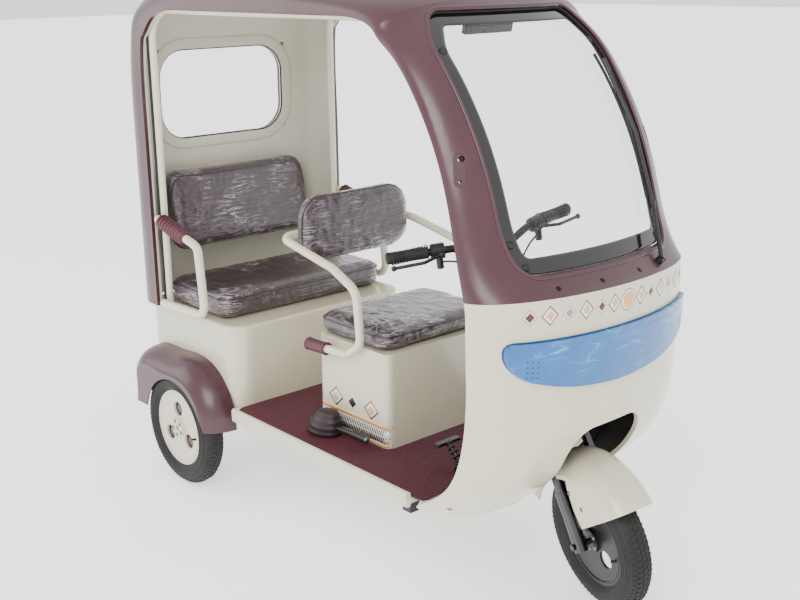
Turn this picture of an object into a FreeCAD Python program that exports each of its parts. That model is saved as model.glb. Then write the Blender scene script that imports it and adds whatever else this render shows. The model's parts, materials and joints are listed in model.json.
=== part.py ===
import FreeCAD, Part
import math
import os

os.makedirs("parts", exist_ok=True)
V = FreeCAD.Vector

# Electric tricycle with a canopy: one front wheel, two rear wheels, a driver's seat and a rear bench.
# Millimetres, +X forward, +Y to the vehicle's left, +Z up, origin on the ground below the middle.

# ---- driving dimensions -------------------------------------------------------------------------
wheelbase = 1480.0
track = 848.0
rear_axle_x = -658.72
tyre_radius = 200.0
tyre_width = 80.0
rim_radius = 132.0
floor_top = 320.0
floor_half_width = 385.0
cab_half_width = 408.0
belt_height = 920.0
door_top = 1590.0
roof_crown = 122.0
rear_wall_back = 345.0
door_post = 165.0
shell_wall = 12.0
liner_wall = 8.0
glass_thickness = 5.0
rest_gap = 0.3
move_gap = 5.0
seam_gap = 0.4

# ---- steering geometry --------------------------------------------------------------------------
rake_deg = 28.0
trail_offset = 38.0
steer_at_rest_deg = -17.0

# ---- seats --------------------------------------------------------------------------------------
bench_front = 168.0
bench_half_width = 354.0
bench_base = 590.0
bench_thickness = 92.0
driver_box_back = 515.0
driver_box_front = 850.0
driver_box_half_width = 232.0
driver_base = 618.0
driver_cushion_thickness = 66.0

front_axle_x = rear_axle_x + wheelbase
axle_z = tyre_radius
rake = math.radians(rake_deg)
up_fork = V(-math.sin(rake), 0, math.cos(rake))
head_point = V(front_axle_x - trail_offset * math.cos(rake), 0, axle_z - trail_offset * math.sin(rake))


def aft(distance):
    """X of a point this far ahead of the rear axle."""
    return rear_axle_x + distance


def fore(distance):
    """X of a point this far ahead of the front axle."""
    return front_axle_x + distance


def save(name, *solids):
    solids = [solid for item in solids for solid in item.Solids]
    for solid in solids:
        if not solid.isValid() or solid.Volume <= 0:
            print("CHECK", name, solid.isValid(), round(solid.Volume))
    shape = solids[0] if len(solids) == 1 else Part.Compound(solids)
    shape.exportStep("parts/" + name + ".step")
    print(name, len(solids), round(shape.Volume / 1000.0), "cm3")


def box(x0, x1, y0, y1, z0, z1):
    return Part.makeBox(x1 - x0, y1 - y0, z1 - z0, V(x0, y0, z0))


def rod(start, end, radius):
    direction = end.sub(start)
    return Part.makeCylinder(radius, direction.Length, start, direction)


def fillet_along(shape, axis, radius):
    """Round every straight edge that runs along one axis."""
    edges = []
    for edge in shape.Edges:
        if edge.Curve.TypeId == "Part::GeomLine":
            direction = edge.Vertexes[1].Point.sub(edge.Vertexes[0].Point)
            if abs(direction.dot(axis)) > 0.999 * direction.Length:
                edges.append(edge)
    return shape.makeFillet(radius, edges)


def round_box(x0, x1, y0, y1, z0, z1, corner, edge):
    """A box with upright corners and then all other edges rounded."""
    body = fillet_along(box(x0, x1, y0, y1, z0, z1), V(0, 0, 1), corner)
    return body.makeFillet(edge, [e for e in body.Edges if abs(e.BoundBox.ZLength) < 0.01])


def mirror_y(shape):
    return shape.mirror(V(0, 0, 0), V(0, 1, 0))


def both_sides(shape):
    return [shape, mirror_y(shape)]


def rounded_path(points, radius):
    """Straight runs through the points, joined by tangent arcs of one radius (or one per corner)."""
    edges = []
    start = points[0]
    for index in range(1, len(points) - 1):
        corner = points[index]
        bend = radius[index - 1] if isinstance(radius, list) else radius
        back = points[index - 1].sub(corner).normalize()
        ahead = points[index + 1].sub(corner).normalize()
        half = math.acos(max(-1.0, min(1.0, back.dot(ahead)))) / 2
        setback = bend / math.tan(half)
        first = corner.add(back * setback)
        last = corner.add(ahead * setback)
        middle = back.add(ahead).normalize()
        centre = corner.add(middle * (bend / math.sin(half)))
        edges.append(Part.LineSegment(start, first).toShape())
        edges.append(Part.Arc(first, centre.sub(middle * bend), last).toShape())
        start = last
    edges.append(Part.LineSegment(start, points[-1]).toShape())
    return Part.Wire(edges)


def bent_tube(points, bend, radius):
    """A round bar swept along a path of runs and arcs."""
    path = rounded_path(points, bend)
    direction = points[1].sub(points[0])
    profile = Part.Wire([Part.Circle(points[0], direction, radius).toShape()])
    return path.makePipeShell([profile], True, True)


def revolve_profile(points, centre, axis):
    """Spin a closed outline of (along the axis, out from it) pairs about an axis through centre."""
    side = V(0, 0, 1)
    wire = Part.makePolygon([centre.add(axis * a).add(side * r) for a, r in points + points[:1]])
    return Part.Face(wire).revolve(centre, axis, 360)


def outline_yz(points, x0, x1):
    """A prism along X over a closed outline of (y, z) pairs."""
    wire = Part.makePolygon([V(x0, y, z) for y, z in points + points[:1]])
    return Part.Face(wire).extrude(V(x1 - x0, 0, 0))


def outline_xz(points, y0, y1):
    """A prism along Y over a closed outline of (x, z) pairs."""
    wire = Part.makePolygon([V(x, y0, z) for x, z in points + points[:1]])
    return Part.Face(wire).extrude(V(0, y1 - y0, 0))


# ---- cab skin: fairing, screen frame, roof and rear shell are one continuous swept surface --------
# A station is one bowed section of the skin: where its two lower edges run (x, z), their half width,
# the section's middle (x, z), and how square its shoulders are.
def belt_share(share):
    """Height of a point part of the way from the belt line to the top of the door opening."""
    return belt_height + share * (door_top - belt_height)


fairing_stations = [
    (fore(-345), floor_top - 40, cab_half_width - 36, fore(-182), floor_top - 40, 3.0),
    (fore(-285), floor_top + 10, cab_half_width - 10, fore(-106), floor_top + 26, 2.7),
    (fore(-200), floor_top + 78, cab_half_width - 3, fore(-34), floor_top + 105, 2.35),
    (fore(-146), floor_top + 185, cab_half_width, fore(13), floor_top + 212, 2.15),
    (fore(-128), floor_top + 290, cab_half_width, fore(30), floor_top + 305, 2.05),
    (fore(-125), floor_top + 390, cab_half_width, fore(40), floor_top + 400, 2.0),
    (fore(-128), floor_top + 490, cab_half_width, fore(49), floor_top + 500, 2.0),
    (fore(-135), belt_height, cab_half_width, fore(52), belt_height + 12, 2.0),
]
screen_stations = [
    (fore(-135), belt_height, cab_half_width, fore(52), belt_height + 12, 2.0),
    (fore(-150), belt_share(0.08), cab_half_width - 1, fore(-5), belt_share(0.09), 1.95),
    (fore(-170), belt_share(0.19), cab_half_width - 3, fore(-48), belt_share(0.20), 1.9),
    (fore(-203), belt_share(0.37), cab_half_width - 6, fore(-92), belt_share(0.38), 1.95),
    (fore(-247), belt_share(0.53), cab_half_width - 10, fore(-142), belt_share(0.56), 2.0),
    (fore(-318), belt_share(0.706), cab_half_width - 14, fore(-220), belt_share(0.755), 2.1),
    (fore(-413), belt_share(0.865), cab_half_width - 18, fore(-325), belt_share(0.94), 2.2),
    (fore(-480), belt_share(0.945), cab_half_width - 20, fore(-420), door_top + 0.34 * roof_crown, 2.3),
]
roof_stations = [
    screen_stations[-1],
    (fore(-560), door_top - 4, cab_half_width - 20, fore(-530), door_top + 0.68 * roof_crown, 2.4),
    (fore(-680), door_top, cab_half_width - 18, fore(-670), door_top + 0.88 * roof_crown, 2.5),
    (fore(-860), door_top, cab_half_width - 14, fore(-860), door_top + roof_crown, 2.6),
    (aft(360), door_top, cab_half_width - 11, aft(360), door_top + roof_crown, 2.6),
    (aft(100), door_top, cab_half_width - 8, aft(80), door_top + 0.94 * roof_crown, 2.7),
    (aft(-40), door_top - 8, cab_half_width - 7, aft(-110), door_top + 0.8 * roof_crown, 2.8),
    (aft(-105), door_top - 40, cab_half_width - 6, aft(-240), door_top + 0.5 * roof_crown, 3.0),
    (aft(10 - door_post), door_top - 90, cab_half_width - 4, aft(30 - rear_wall_back), door_top - 15, 3.2),
]
rear_stations = [
    roof_stations[-1],
    (aft(-door_post), door_top - 170, cab_half_width - 2, aft(8 - rear_wall_back), door_top - 140, 3.3),
    (aft(-door_post), door_top - 400, cab_half_width, aft(-rear_wall_back), door_top - 400, 3.4),
    (aft(-door_post), bench_base + 260, cab_half_width, aft(-rear_wall_back), bench_base + 260, 3.4),
    (aft(-door_post), bench_base + 100, cab_half_width, aft(-rear_wall_back), bench_base + 90, 3.4),
    (aft(-door_post), bench_base + 2, cab_half_width, aft(2 - rear_wall_back), bench_base + 2, 3.4),
]
section_points = 25


def section(station):
    """Evenly spaced points along one station's bow, from the right edge over to the left edge."""
    edge_x, edge_z, half, nose_x, nose_z, square = station
    fine = []
    steps = 360
    for step in range(steps + 1):
        angle = math.pi * step / steps
        across = abs(math.cos(angle)) ** (2.0 / square)
        along = abs(math.sin(angle)) ** (2.0 / square)
        y = -half * across if step < steps / 2 else half * across
        fine.append(V(edge_x + (nose_x - edge_x) * along, y, edge_z + (nose_z - edge_z) * along))
    lengths = [0.0]
    for first, second in zip(fine, fine[1:]):
        lengths.append(lengths[-1] + second.sub(first).Length)
    points = []
    index = 0
    for number in range(section_points):
        target = lengths[-1] * number / (section_points - 1)
        while index < steps - 1 and lengths[index + 1] < target:
            index += 1
        share = (target - lengths[index]) / (lengths[index + 1] - lengths[index])
        points.append(fine[index].add(fine[index + 1].sub(fine[index]) * share))
    return points


def skin_surface(stations):
    surface = Part.BSplineSurface()
    surface.interpolate([section(station) for station in stations])
    return surface


def inward_normals(surface, u):
    """Unit normals into the cab along one section of the skin, one at each of its points."""
    knots = surface.getVKnots()
    middle = knots[len(knots) // 2]
    inward = V(aft(330), 0, door_top - 350).sub(surface.value(u, middle))
    sign = 1.0 if surface.normal(u, middle).dot(inward) > 0 else -1.0
    return [surface.normal(u, v) * sign for v in knots]


def shifted_surface(stations, depth, before=None, after=None):
    """A surface this deep inside the skin, its ends mitred to the neighbouring panels; negative is outside."""
    surface = skin_surface(stations)
    knots = surface.getUKnots()
    spots = [knots[0]]
    for first, second in zip(knots, knots[1:]):
        spots.extend([(first + second) / 2, second])
    grid = []
    for row, u in enumerate(spots):
        normals = inward_normals(surface, u)
        joined = before if row == 0 else after if row == len(spots) - 1 else None
        if joined:
            other = skin_surface(joined)
            other_end = other.getUKnots()[-1 if row == 0 else 0]
            sums = [one.add(two) for one, two in zip(normals, inward_normals(other, other_end))]
            normals = [total * (2.0 / total.Length ** 2) for total in sums]
            inset = seam_gap / 2 / surface.vIso(0.5).length()
            u += inset if row == 0 else -inset
        grid.append([surface.value(u, v).add(normal * depth) for v, normal in zip(surface.getVKnots(), normals)])
    result = Part.BSplineSurface()
    result.interpolate(grid)
    return result


def panel(stations, depth_out, depth_in, before=None, after=None):
    """A solid panel between two depths below the cab skin over these stations."""
    pair = [shifted_surface(stations, depth, before, after) for depth in (depth_out, depth_in)]
    faces = [surface.toShape() for surface in pair]
    limits = [surface.bounds() for surface in pair]
    for side in range(4):
        curves = []
        for surface, limit in zip(pair, limits):
            if side < 2:
                curves.append(surface.uIso(limit[side]).toShape())
            else:
                curves.append(surface.vIso(limit[side]).toShape())
        faces.append(Part.makeRuledSurface(curves[0], curves[1]))
    shell = Part.makeShell(faces)
    shell.sewShape()
    solid = Part.makeSolid(shell)
    if solid.Volume < 0:
        solid.reverse()
    return solid


def rounded_outline(corners, radius, segments=8):
    """Points of a closed polygon with its corners rounded, each by its own radius."""
    points = []
    count = len(corners)
    for index in range(count):
        here = V(corners[index][0], corners[index][1], 0)
        back = V(*corners[index - 1], 0).sub(here)
        ahead = V(*corners[(index + 1) % count], 0).sub(here)
        bend = radius[index] if isinstance(radius, list) else radius
        back.normalize()
        ahead.normalize()
        half = math.acos(back.dot(ahead)) / 2
        middle = back.add(ahead).normalize()
        centre = here.add(middle * (bend / math.sin(half)))
        first = here.add(back * (bend / math.tan(half))).sub(centre)
        last = here.add(ahead * (bend / math.tan(half))).sub(centre)
        for step in range(segments + 1):
            share = step / segments
            spoke = first * (1 - share) + last * share
            spoke.normalize()
            point = centre.add(spoke * bend)
            points.append((point.x, point.y))
    return points


# front fairing, with the arch for the steered wheel cut up into its nose
arch_half_width = 148.0
arch_top = 545.0
arch_cut = outline_yz(
    rounded_outline([(-arch_half_width, floor_top - 120), (arch_half_width, floor_top - 120),
                     (arch_half_width, arch_top), (-arch_half_width, arch_top)], [10, 10, 80, 80]),
    fore(-260), fore(150))
fairing = panel(fairing_stations, 0, shell_wall, after=screen_stations)
save("front_fairing", fairing.cut(arch_cut))

# windscreen frame and the glass behind it
glass_bottom = belt_share(0.085)
glass_top = belt_share(1.02)
glass_half = [(glass_bottom, 286.0), (belt_share(0.23), 306.0), (belt_share(0.55), 308.0), (belt_share(0.90), 312.0),
              (glass_top, 258.0)]
glass_corner_bends = [60, 380, 2400, 110, 60]


def glass_outline(grow):
    right = [(half + grow, z) for z, half in glass_half]
    right[0] = (glass_half[0][1] + grow, glass_bottom - grow)
    right[-1] = (glass_half[-1][1] + grow, glass_top + grow)
    left = [(-y, z) for y, z in reversed(right)]
    bends = glass_corner_bends + glass_corner_bends[::-1]
    return rounded_outline(right + left, bends)


screen_skin = skin_surface(screen_stations)
skin_samples = 120


def on_screen(y, z, lift):
    """The point of the screen's skin at this y and z, moved out along its normal."""
    best = None
    for row in range(skin_samples + 1):
        for column in range(skin_samples + 1):
            point = screen_skin.value(row / skin_samples, column / skin_samples)
            miss = (point.y - y) ** 2 + (point.z - z) ** 2
            if best is None or miss < best[0]:
                best = (miss, point, row / skin_samples, column / skin_samples)
    normal = screen_skin.normal(best[2], best[3])
    if normal.x < 0:
        normal = normal * -1.0
    return best[1].add(normal * lift)


screen_frame = panel(screen_stations, 0, shell_wall, fairing_stations, roof_stations)
screen_hole = outline_yz(glass_outline(0), fore(-470), fore(200))
screen_frame = screen_frame.cut(screen_hole)
mirror_spot = (368.0, 1235.0)
mirror_pitch = 54.0
mirror_hole_radius = 3.2
mirror_pad_radius = 16.0
mirror_pad_sink = 3.5
for side in (-1, 1):
    centre = on_screen(side * mirror_spot[0], mirror_spot[1], 0)
    out = on_screen(side * mirror_spot[0], mirror_spot[1], 1).sub(centre)
    along = V(0, 0, 1) - out * out.z
    along.normalize()
    ends = [centre.add(along * (step * mirror_pitch / 2)) for step in (-1, 1)]
    for point in ends:
        screen_frame = screen_frame.cut(rod(point - out * mirror_pad_sink, point + out * 30, mirror_pad_radius))
    floor_of_pad = Part.makeBox(mirror_pitch, 2 * mirror_pad_radius, 30 + mirror_pad_sink)
    floor_of_pad.translate(V(-mirror_pitch / 2, -mirror_pad_radius, -mirror_pad_sink))
    across = out.cross(along)
    placed = FreeCAD.Matrix(along.x, across.x, out.x, centre.x, along.y, across.y, out.y, centre.y,
                            along.z, across.z, out.z, centre.z, 0, 0, 0, 1)
    floor_of_pad.transformShape(placed)
    screen_frame = screen_frame.cut(floor_of_pad)
    for point in ends:
        screen_frame = screen_frame.cut(rod(point - out * 30, point + out * 30, mirror_hole_radius))
save("windscreen_frame", screen_frame)
glass_depth = shell_wall + rest_gap
glass_sheet = panel(screen_stations, glass_depth, glass_depth + glass_thickness, fairing_stations, roof_stations)
save("windscreen_glass", glass_sheet.common(outline_yz(glass_outline(16), fore(-500), fore(200))))

# roof and rear shell, and the pale liners inside them
save("roof_shell", panel(roof_stations, 0, shell_wall, screen_stations, rear_stations))
rear_shell = panel(rear_stations, 0, shell_wall, roof_stations)
window_low = 1134.0
window_top = 1441.0
window_half = 257.0
window_outline = rounded_outline([(-window_half, window_low), (window_half, window_low),
                                  (window_half, window_top), (-window_half, window_top)], 95)
window_cut = outline_yz(window_outline, aft(-rear_wall_back - 60), aft(-rear_wall_back + 90))
window_screw_y = 257.0
window_screw_low = 1146.0
window_screw_top = 1441.0
screw_hole_radius = 3.2
screw_holes = [rod(V(aft(-rear_wall_back - 60), side * window_screw_y, height),
                   V(aft(-rear_wall_back + 90), side * window_screw_y, height), screw_hole_radius)
               for side in (-1, 1) for height in (window_screw_low, window_screw_top)]
for cutter in [window_cut] + screw_holes:
    rear_shell = rear_shell.cut(cutter)
save("rear_shell", rear_shell)
liner_out = shell_wall + rest_gap
roof_liner = panel(roof_stations, liner_out, liner_out + liner_wall, after=rear_stations)
behind_glass = box(aft(-600), fore(-545), -cab_half_width, cab_half_width, belt_height, 2 * door_top)
save("roof_liner", roof_liner.common(behind_glass))
rear_liner = panel(rear_stations, liner_out, liner_out + liner_wall, roof_stations)
for cutter in [window_cut] + screw_holes:
    rear_liner = rear_liner.cut(cutter)
save("rear_liner", rear_liner)


def inside(stations, depth):
    """The solid that lies this deep inside the cab skin, closed across its open side."""
    surface = shifted_surface(stations, depth)
    u0, u1, v0, v1 = surface.bounds()
    faces = [surface.toShape()]
    faces.append(Part.makeRuledSurface(surface.vIso(v0).toShape(), surface.vIso(v1).toShape()))
    for u in (u0, u1):
        chord = Part.LineSegment(surface.value(u, v0), surface.value(u, v1)).toShape()
        faces.append(Part.makeRuledSurface(surface.uIso(u).toShape(), chord))
    shell = Part.makeShell(faces)
    shell.sewShape()
    solid = Part.makeSolid(shell)
    if solid.Volume < 0:
        solid.reverse()
    return solid


# ---- floor and chassis ---------------------------------------------------------------------------
mat_thickness = 6.0
floor_plate = 20.0
sill_width = 17.0
sill_drop = 36.0
sill_rise = 10.0
floor_front = fore(-276)
floor_back = aft(24 - rear_wall_back) + rest_gap
rear_floor_half = 360.0
box_front = aft(250)
mat_bottom = floor_top - mat_thickness
floor_bottom = mat_bottom - floor_plate
sill_back = box_front + 12
sill_front = fore(-362)
front_floor_half = floor_half_width + sill_width

rear_floor = box(floor_back, sill_back, -rear_floor_half, rear_floor_half, floor_bottom, mat_bottom)
front_floor = box(sill_back, floor_front, -floor_half_width, floor_half_width, floor_bottom, mat_bottom)
front_floor = front_floor.common(box(sill_back, sill_front, -floor_half_width, floor_half_width, 0, 999).fuse(
    box(sill_front, floor_front, 85 - floor_half_width, floor_half_width - 85, 0, 999)))
sill = box(sill_back, sill_front, floor_half_width, front_floor_half, floor_top - sill_drop, floor_top + sill_rise)
sill = sill.makeFillet(8, [e for e in sill.Edges if e.BoundBox.XLength > 1])
strut_x = fore(-310)
strut_size = 36.0
strut_hole = box(strut_x - strut_size / 2 - 3, strut_x + strut_size / 2 + 3, -strut_size / 2 - 3,
                 strut_size / 2 + 3, 0, floor_top + 50)
floor_tub = rear_floor.fuse([front_floor] + both_sides(sill)).removeSplitter().cut(strut_hole)
save("floor_tub", floor_tub)
mat_gap = 1.5
mat = fillet_along(box(box_front + mat_gap, floor_front - 24, mat_gap - floor_half_width,
                       floor_half_width - mat_gap, mat_bottom, floor_top), V(0, 0, 1), 40)

# chassis: two rails, cross members, the strut up to the steering head, and the stays outboard
rail_half_gap = 190.0
rail_size = 40.0
rail_top = floor_bottom - rest_gap
rail_bottom = rail_top - rail_size
rail_back = aft(-300)
rail_front = fore(-280)
head_start = 390.0
head_length = 120.0
head_radius = 26.0
column_radius = 15.0
column_clearance = 0.06
head_low = head_point.add(up_fork * head_start)
head_high = head_point.add(up_fork * (head_start + head_length))
members = []
for side in (-1, 1):
    members.append(box(rail_back, rail_front, side * rail_half_gap - rail_size / 2,
                       side * rail_half_gap + rail_size / 2, rail_bottom, rail_top))
for x in (rail_back, aft(290), aft(620), fore(-460), strut_x - rail_size / 2):
    members.append(box(x, x + rail_size, -rail_half_gap, rail_half_gap, rail_bottom, rail_top))
strut_top = head_low.z + 30
members.append(box(strut_x - strut_size / 2, strut_x + strut_size / 2, -strut_size / 2, strut_size / 2,
                   rail_bottom, strut_top))
gusset = outline_xz([(strut_x, strut_top - 110), (head_low.x, head_low.z + 4), (head_high.x, head_high.z - 20),
                     (strut_x - strut_size / 2, strut_top)], -6, 6)
members.append(gusset)
members.append(rod(head_low, head_high, head_radius))
foot_x = fore(-425)
foot_size = 34.0
for side in (-1, 1):
    outrigger = box(foot_x, foot_x + 26, min(side * 190, side * 352), max(side * 190, side * 352),
                    rail_bottom + 12, rail_bottom + 28)
    foot = box(foot_x - 4, foot_x - 4 + foot_size, min(side * 322, side * 356), max(side * 322, side * 356),
               rail_bottom - 12, rail_bottom + 30)
    members.extend([outrigger, foot])
chassis = members[0].fuse(members[1:])
chassis = chassis.cut(rod(head_low.sub(up_fork * 30), head_high.add(up_fork * 30), column_radius + column_clearance))
chassis = chassis.removeSplitter()

# rear axle, springs and battery
hub_face = track / 2 - 46
axle_tube_radius = 24.0
motor_radius = 78.0
motor_half_width = 62.0
stub_radius = 11.0
stub_clearance = 0.06
brake_radius = 70.0
axle = rod(V(aft(0), -hub_face + 14, axle_z), V(aft(0), hub_face - 14, axle_z), axle_tube_radius)
axle = axle.fuse(rod(V(aft(0), -track / 2 - 8, axle_z), V(aft(0), track / 2 + 8, axle_z), stub_radius))
axle = axle.fuse(rod(V(aft(0), -motor_half_width, axle_z - 8), V(aft(0), motor_half_width, axle_z - 8), motor_radius - 30))
axle = axle.fuse(rod(V(aft(70), 40, axle_z + 2), V(aft(70), 190 - 30, axle_z + 2), 46))
axle = axle.fuse(box(aft(0), aft(70), 40, 58, axle_z - 30, axle_z + 30))
for side in (-1, 1):
    axle = axle.fuse(rod(V(aft(0), side * (hub_face - 16), axle_z), V(aft(0), side * (hub_face - 6), axle_z),
                         brake_radius))
spring_y = 250.0
spring_half_length = 300.0
leaf_width = 44.0
leaf_thickness = 7.0
seat_z = axle_z + axle_tube_radius
axle = axle.fuse([box(aft(-32), aft(32), side * spring_y - leaf_width / 2, side * spring_y + leaf_width / 2,
                      axle_z, seat_z + 3) for side in (-1, 1)])
save("rear_axle", axle.removeSplitter())
leaves = []
for side in (-1, 1):
    pack = []
    for layer, share in enumerate((1.0, 0.72, 0.45)):
        half = spring_half_length * share
        low = seat_z + 3 + rest_gap + (2 - layer) * leaf_thickness
        rise = 22.0 * share * share
        arc = Part.Arc(V(aft(-half), 0, low + rise), V(aft(0), 0, low), V(aft(half), 0, low + rise))
        upper = Part.Arc(V(aft(-half), 0, low + rise + leaf_thickness), V(aft(0), 0, low + leaf_thickness),
                         V(aft(half), 0, low + rise + leaf_thickness))
        ends = [Part.LineSegment(arc.value(p), upper.value(q)).toShape()
                for p, q in ((arc.FirstParameter, upper.FirstParameter), (arc.LastParameter, upper.LastParameter))]
        face = Part.Face(Part.Wire([arc.toShape(), ends[1], upper.toShape(), ends[0]]))
        face.translate(V(0, side * spring_y - leaf_width / 2, 0))
        pack.append(face.extrude(V(0, leaf_width, 0)))
    leaves.append(pack[0].fuse(pack[1:]).removeSplitter())
save("leaf_springs", *leaves)
spring_eye_z = seat_z + 3 + rest_gap + 2 * leaf_thickness + 22 + leaf_thickness
for side in (-1, 1):
    for end in (-1, 1):
        x = aft(end * (spring_half_length - 12))
        hanger = box(x - 14, x + 14, min(side * 190, side * (spring_y + 22)), max(side * 190, side * (spring_y + 22)),
                     spring_eye_z + rest_gap, rail_top)
        chassis = chassis.fuse(hanger)
save("chassis_frame", chassis.removeSplitter())
battery = round_box(aft(-190), aft(150), -170, 170, mat_bottom + rest_gap, mat_bottom + 190, 12, 4)
save("battery_pack", battery)

# ---- wheel well, leg shield with its column tunnel, and dashboard ---------------------------------
inner_fairing = inside(fairing_stations, shell_wall + rest_gap)
tunnel_half_width = 116.0
tunnel_wall = 6.0
tunnel_back = strut_x - 42
tunnel_top = floor_top + 300
shield_wall = 8.0
shield_line = [(fore(-276), mat_bottom + rest_gap), (fore(-190), floor_top + 80), (fore(-136), floor_top + 185),
               (fore(-118), floor_top + 290), (fore(-115), floor_top + 390), (fore(-118), floor_top + 480)]


def strip_xz(line, wall, half):
    """A wall that follows a bent line in side view, thickened forward."""
    shape = outline_xz(line + [(x + wall, z) for x, z in reversed(line)], -half, half)
    return shape


def column_box(grow, start, end):
    """A square duct around the steering column."""
    half = 46.0 + grow
    duct = Part.makeBox(2 * half, 2 * half, end - start, V(-half, -half, start))
    duct = fillet_along(duct, V(0, 0, 1), 18 + grow)
    duct.rotate(V(0, 0, 0), V(0, 1, 0), -rake_deg)
    duct.translate(head_point)
    return duct


tunnel_line = [(tunnel_back, mat_bottom + 7), (tunnel_back, tunnel_top), (fore(-60), tunnel_top),
               (fore(-60), mat_bottom + 7)]
tunnel_outer = outline_xz(tunnel_line, -tunnel_half_width, tunnel_half_width)
tunnel_outer = fillet_along(tunnel_outer, V(0, 1, 0), 30)
inner_line = [(tunnel_back + tunnel_wall, mat_bottom - 50), (tunnel_back + tunnel_wall, tunnel_top - tunnel_wall),
              (fore(0), tunnel_top - tunnel_wall), (fore(0), mat_bottom - 50)]
tunnel_inner = outline_xz(inner_line, tunnel_wall - tunnel_half_width, tunnel_half_width - tunnel_wall)
duct_start = 380.0
duct_end = 730.0
shield_front = outline_xz([(x + shield_wall, z) for x, z in shield_line] + [(fore(300), floor_top + 480),
                          (fore(300), floor_top - 5)], -500, 500)
hood = tunnel_outer.fuse(column_box(0, duct_start, duct_end))
hood = hood.cut(shield_front)
hollow = tunnel_inner.fuse(column_box(-tunnel_wall, duct_start - 60, duct_end - tunnel_wall))
shield = strip_xz(shield_line, shield_wall, cab_half_width).common(inner_fairing)
shield = shield.fuse(hood).cut(hollow)
column_hole = rod(head_point.add(up_fork * 600), head_point.add(up_fork * 800), column_radius + move_gap)
shield = shield.cut(column_hole)
save("leg_shield", shield.removeSplitter())
save("floor_mat", mat.cut(box(tunnel_back - 2, floor_front, -tunnel_half_width - 2, tunnel_half_width + 2, 0, 999)))

well_half_width = 176.0
well_wall = 4.0
well_line = [(fore(-258), floor_top - 30), (fore(-168), floor_top + 80), (fore(-112), floor_top + 185),
             (fore(-98), floor_top + 250), (fore(160), floor_top + 250), (fore(160), floor_top - 30)]
well_hollow = [(fore(-258) + 5, floor_top - 60), (fore(-168) + 5, floor_top + 78), (fore(-112) + 5, floor_top + 183),
               (fore(-98) + 5, floor_top + 250 - well_wall), (fore(200), floor_top + 250 - well_wall),
               (fore(200), floor_top - 60)]
well = outline_xz(well_line, -well_half_width, well_half_width)
well = well.cut(outline_xz(well_hollow, well_wall - well_half_width, well_half_width - well_wall))
well = well.cut(tunnel_inner.fuse(tunnel_outer)).common(inside(fairing_stations, shell_wall + 1))
save("wheel_well", well)

dash_half = 262.0
dash_line = [(fore(-118), floor_top + 480 + rest_gap), (fore(-200), floor_top + 520), (fore(-246), floor_top + 572),
             (fore(-240), floor_top + 615), (fore(-120), floor_top + 640), (fore(-45), floor_top + 640)]
dash_stations = fairing_stations[4:-1] + screen_stations[:5]
dash = outline_xz(dash_line + [(fore(-45), floor_top + 630), (fore(-120), floor_top + 630), (fore(-234), floor_top + 606),
                               (fore(-237), floor_top + 577), (fore(-194), floor_top + 530), (fore(-112), floor_top + 491)],
                  -dash_half, dash_half)
dash = dash.cut(column_box(8, 300, 900))
behind_edges = box(fore(-300), fore(-128), -dash_half, dash_half, floor_top, door_top)
dash = dash.common(behind_edges).fuse(dash.common(inside(dash_stations, glass_depth + glass_thickness + rest_gap)))
dash = dash.removeSplitter()
save("dashboard", dash)

# ---- headlamp bar --------------------------------------------------------------------------------
lamp_half_width = 361.0
lamp_low = floor_top + 354
lamp_top = floor_top + 504
lamp_depth = 12.0
lamp_right = [(lamp_half_width * 0.55, lamp_low + 16), (lamp_half_width * 0.9, lamp_low + 54),
              (lamp_half_width, lamp_low + 101), (lamp_half_width, lamp_top)]
lamp_left = [(-y, z) for y, z in reversed(lamp_right)]
lamp_outline = rounded_outline(lamp_left + [(0, lamp_low)] + lamp_right,
                               [20, 60, 105, 700, 900, 700, 105, 60, 20])
lamp = panel(fairing_stations[2:], -lamp_depth, -2 * rest_gap).common(outline_yz(lamp_outline, fore(-140), fore(200)))
save("headlamp_bar", lamp)

# ---- cream tubes round the door openings, and the armrests ----------------------------------------
door_tube_radius = 12.0
door_tube_y = cab_half_width - liner_out - liner_wall - door_tube_radius - 9
door_tube_inset = 19.0
door_low = bench_base + 8
door_tube_top = door_top - 1
door_path = [V(aft(door_tube_inset - door_post), door_tube_y, door_low),
             V(aft(door_tube_inset - door_post), door_tube_y, door_tube_top),
             V(fore(-540), door_tube_y - 17, door_tube_top)]
door_tube = bent_tube(door_path, 105, door_tube_radius)
save("door_frame_tubes", *both_sides(door_tube))

armrest_radius = 14.0
armrest_y = door_tube_y + door_tube_radius + armrest_radius + rest_gap
armrest_back = aft(door_tube_inset - door_post)
grip_radius = 22.0
grip_back = V(armrest_back, armrest_y, 900)
armrest_path = [grip_back, V(aft(98), armrest_y, 843), V(aft(122), armrest_y, 612),
                V(armrest_back, armrest_y, 604)]
armrest = bent_tube(armrest_path, [30, 42], armrest_radius)
save("rear_armrest_tubes", *both_sides(armrest))
grip_axis = armrest_path[1].sub(grip_back).normalize()
grip_length = 178.0
grip = rod(grip_back.add(grip_axis * 20), grip_back.add(grip_axis * grip_length), grip_radius)
grip = grip.makeFillet(6, [e for e in grip.Edges if e.Curve.TypeId == "Part::GeomCircle"])
grip = grip.cut(rod(grip_back.sub(grip_axis * 50), grip_back.add(grip_axis * 400), armrest_radius + rest_gap))
save("armrest_grips", *both_sides(grip))

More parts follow.
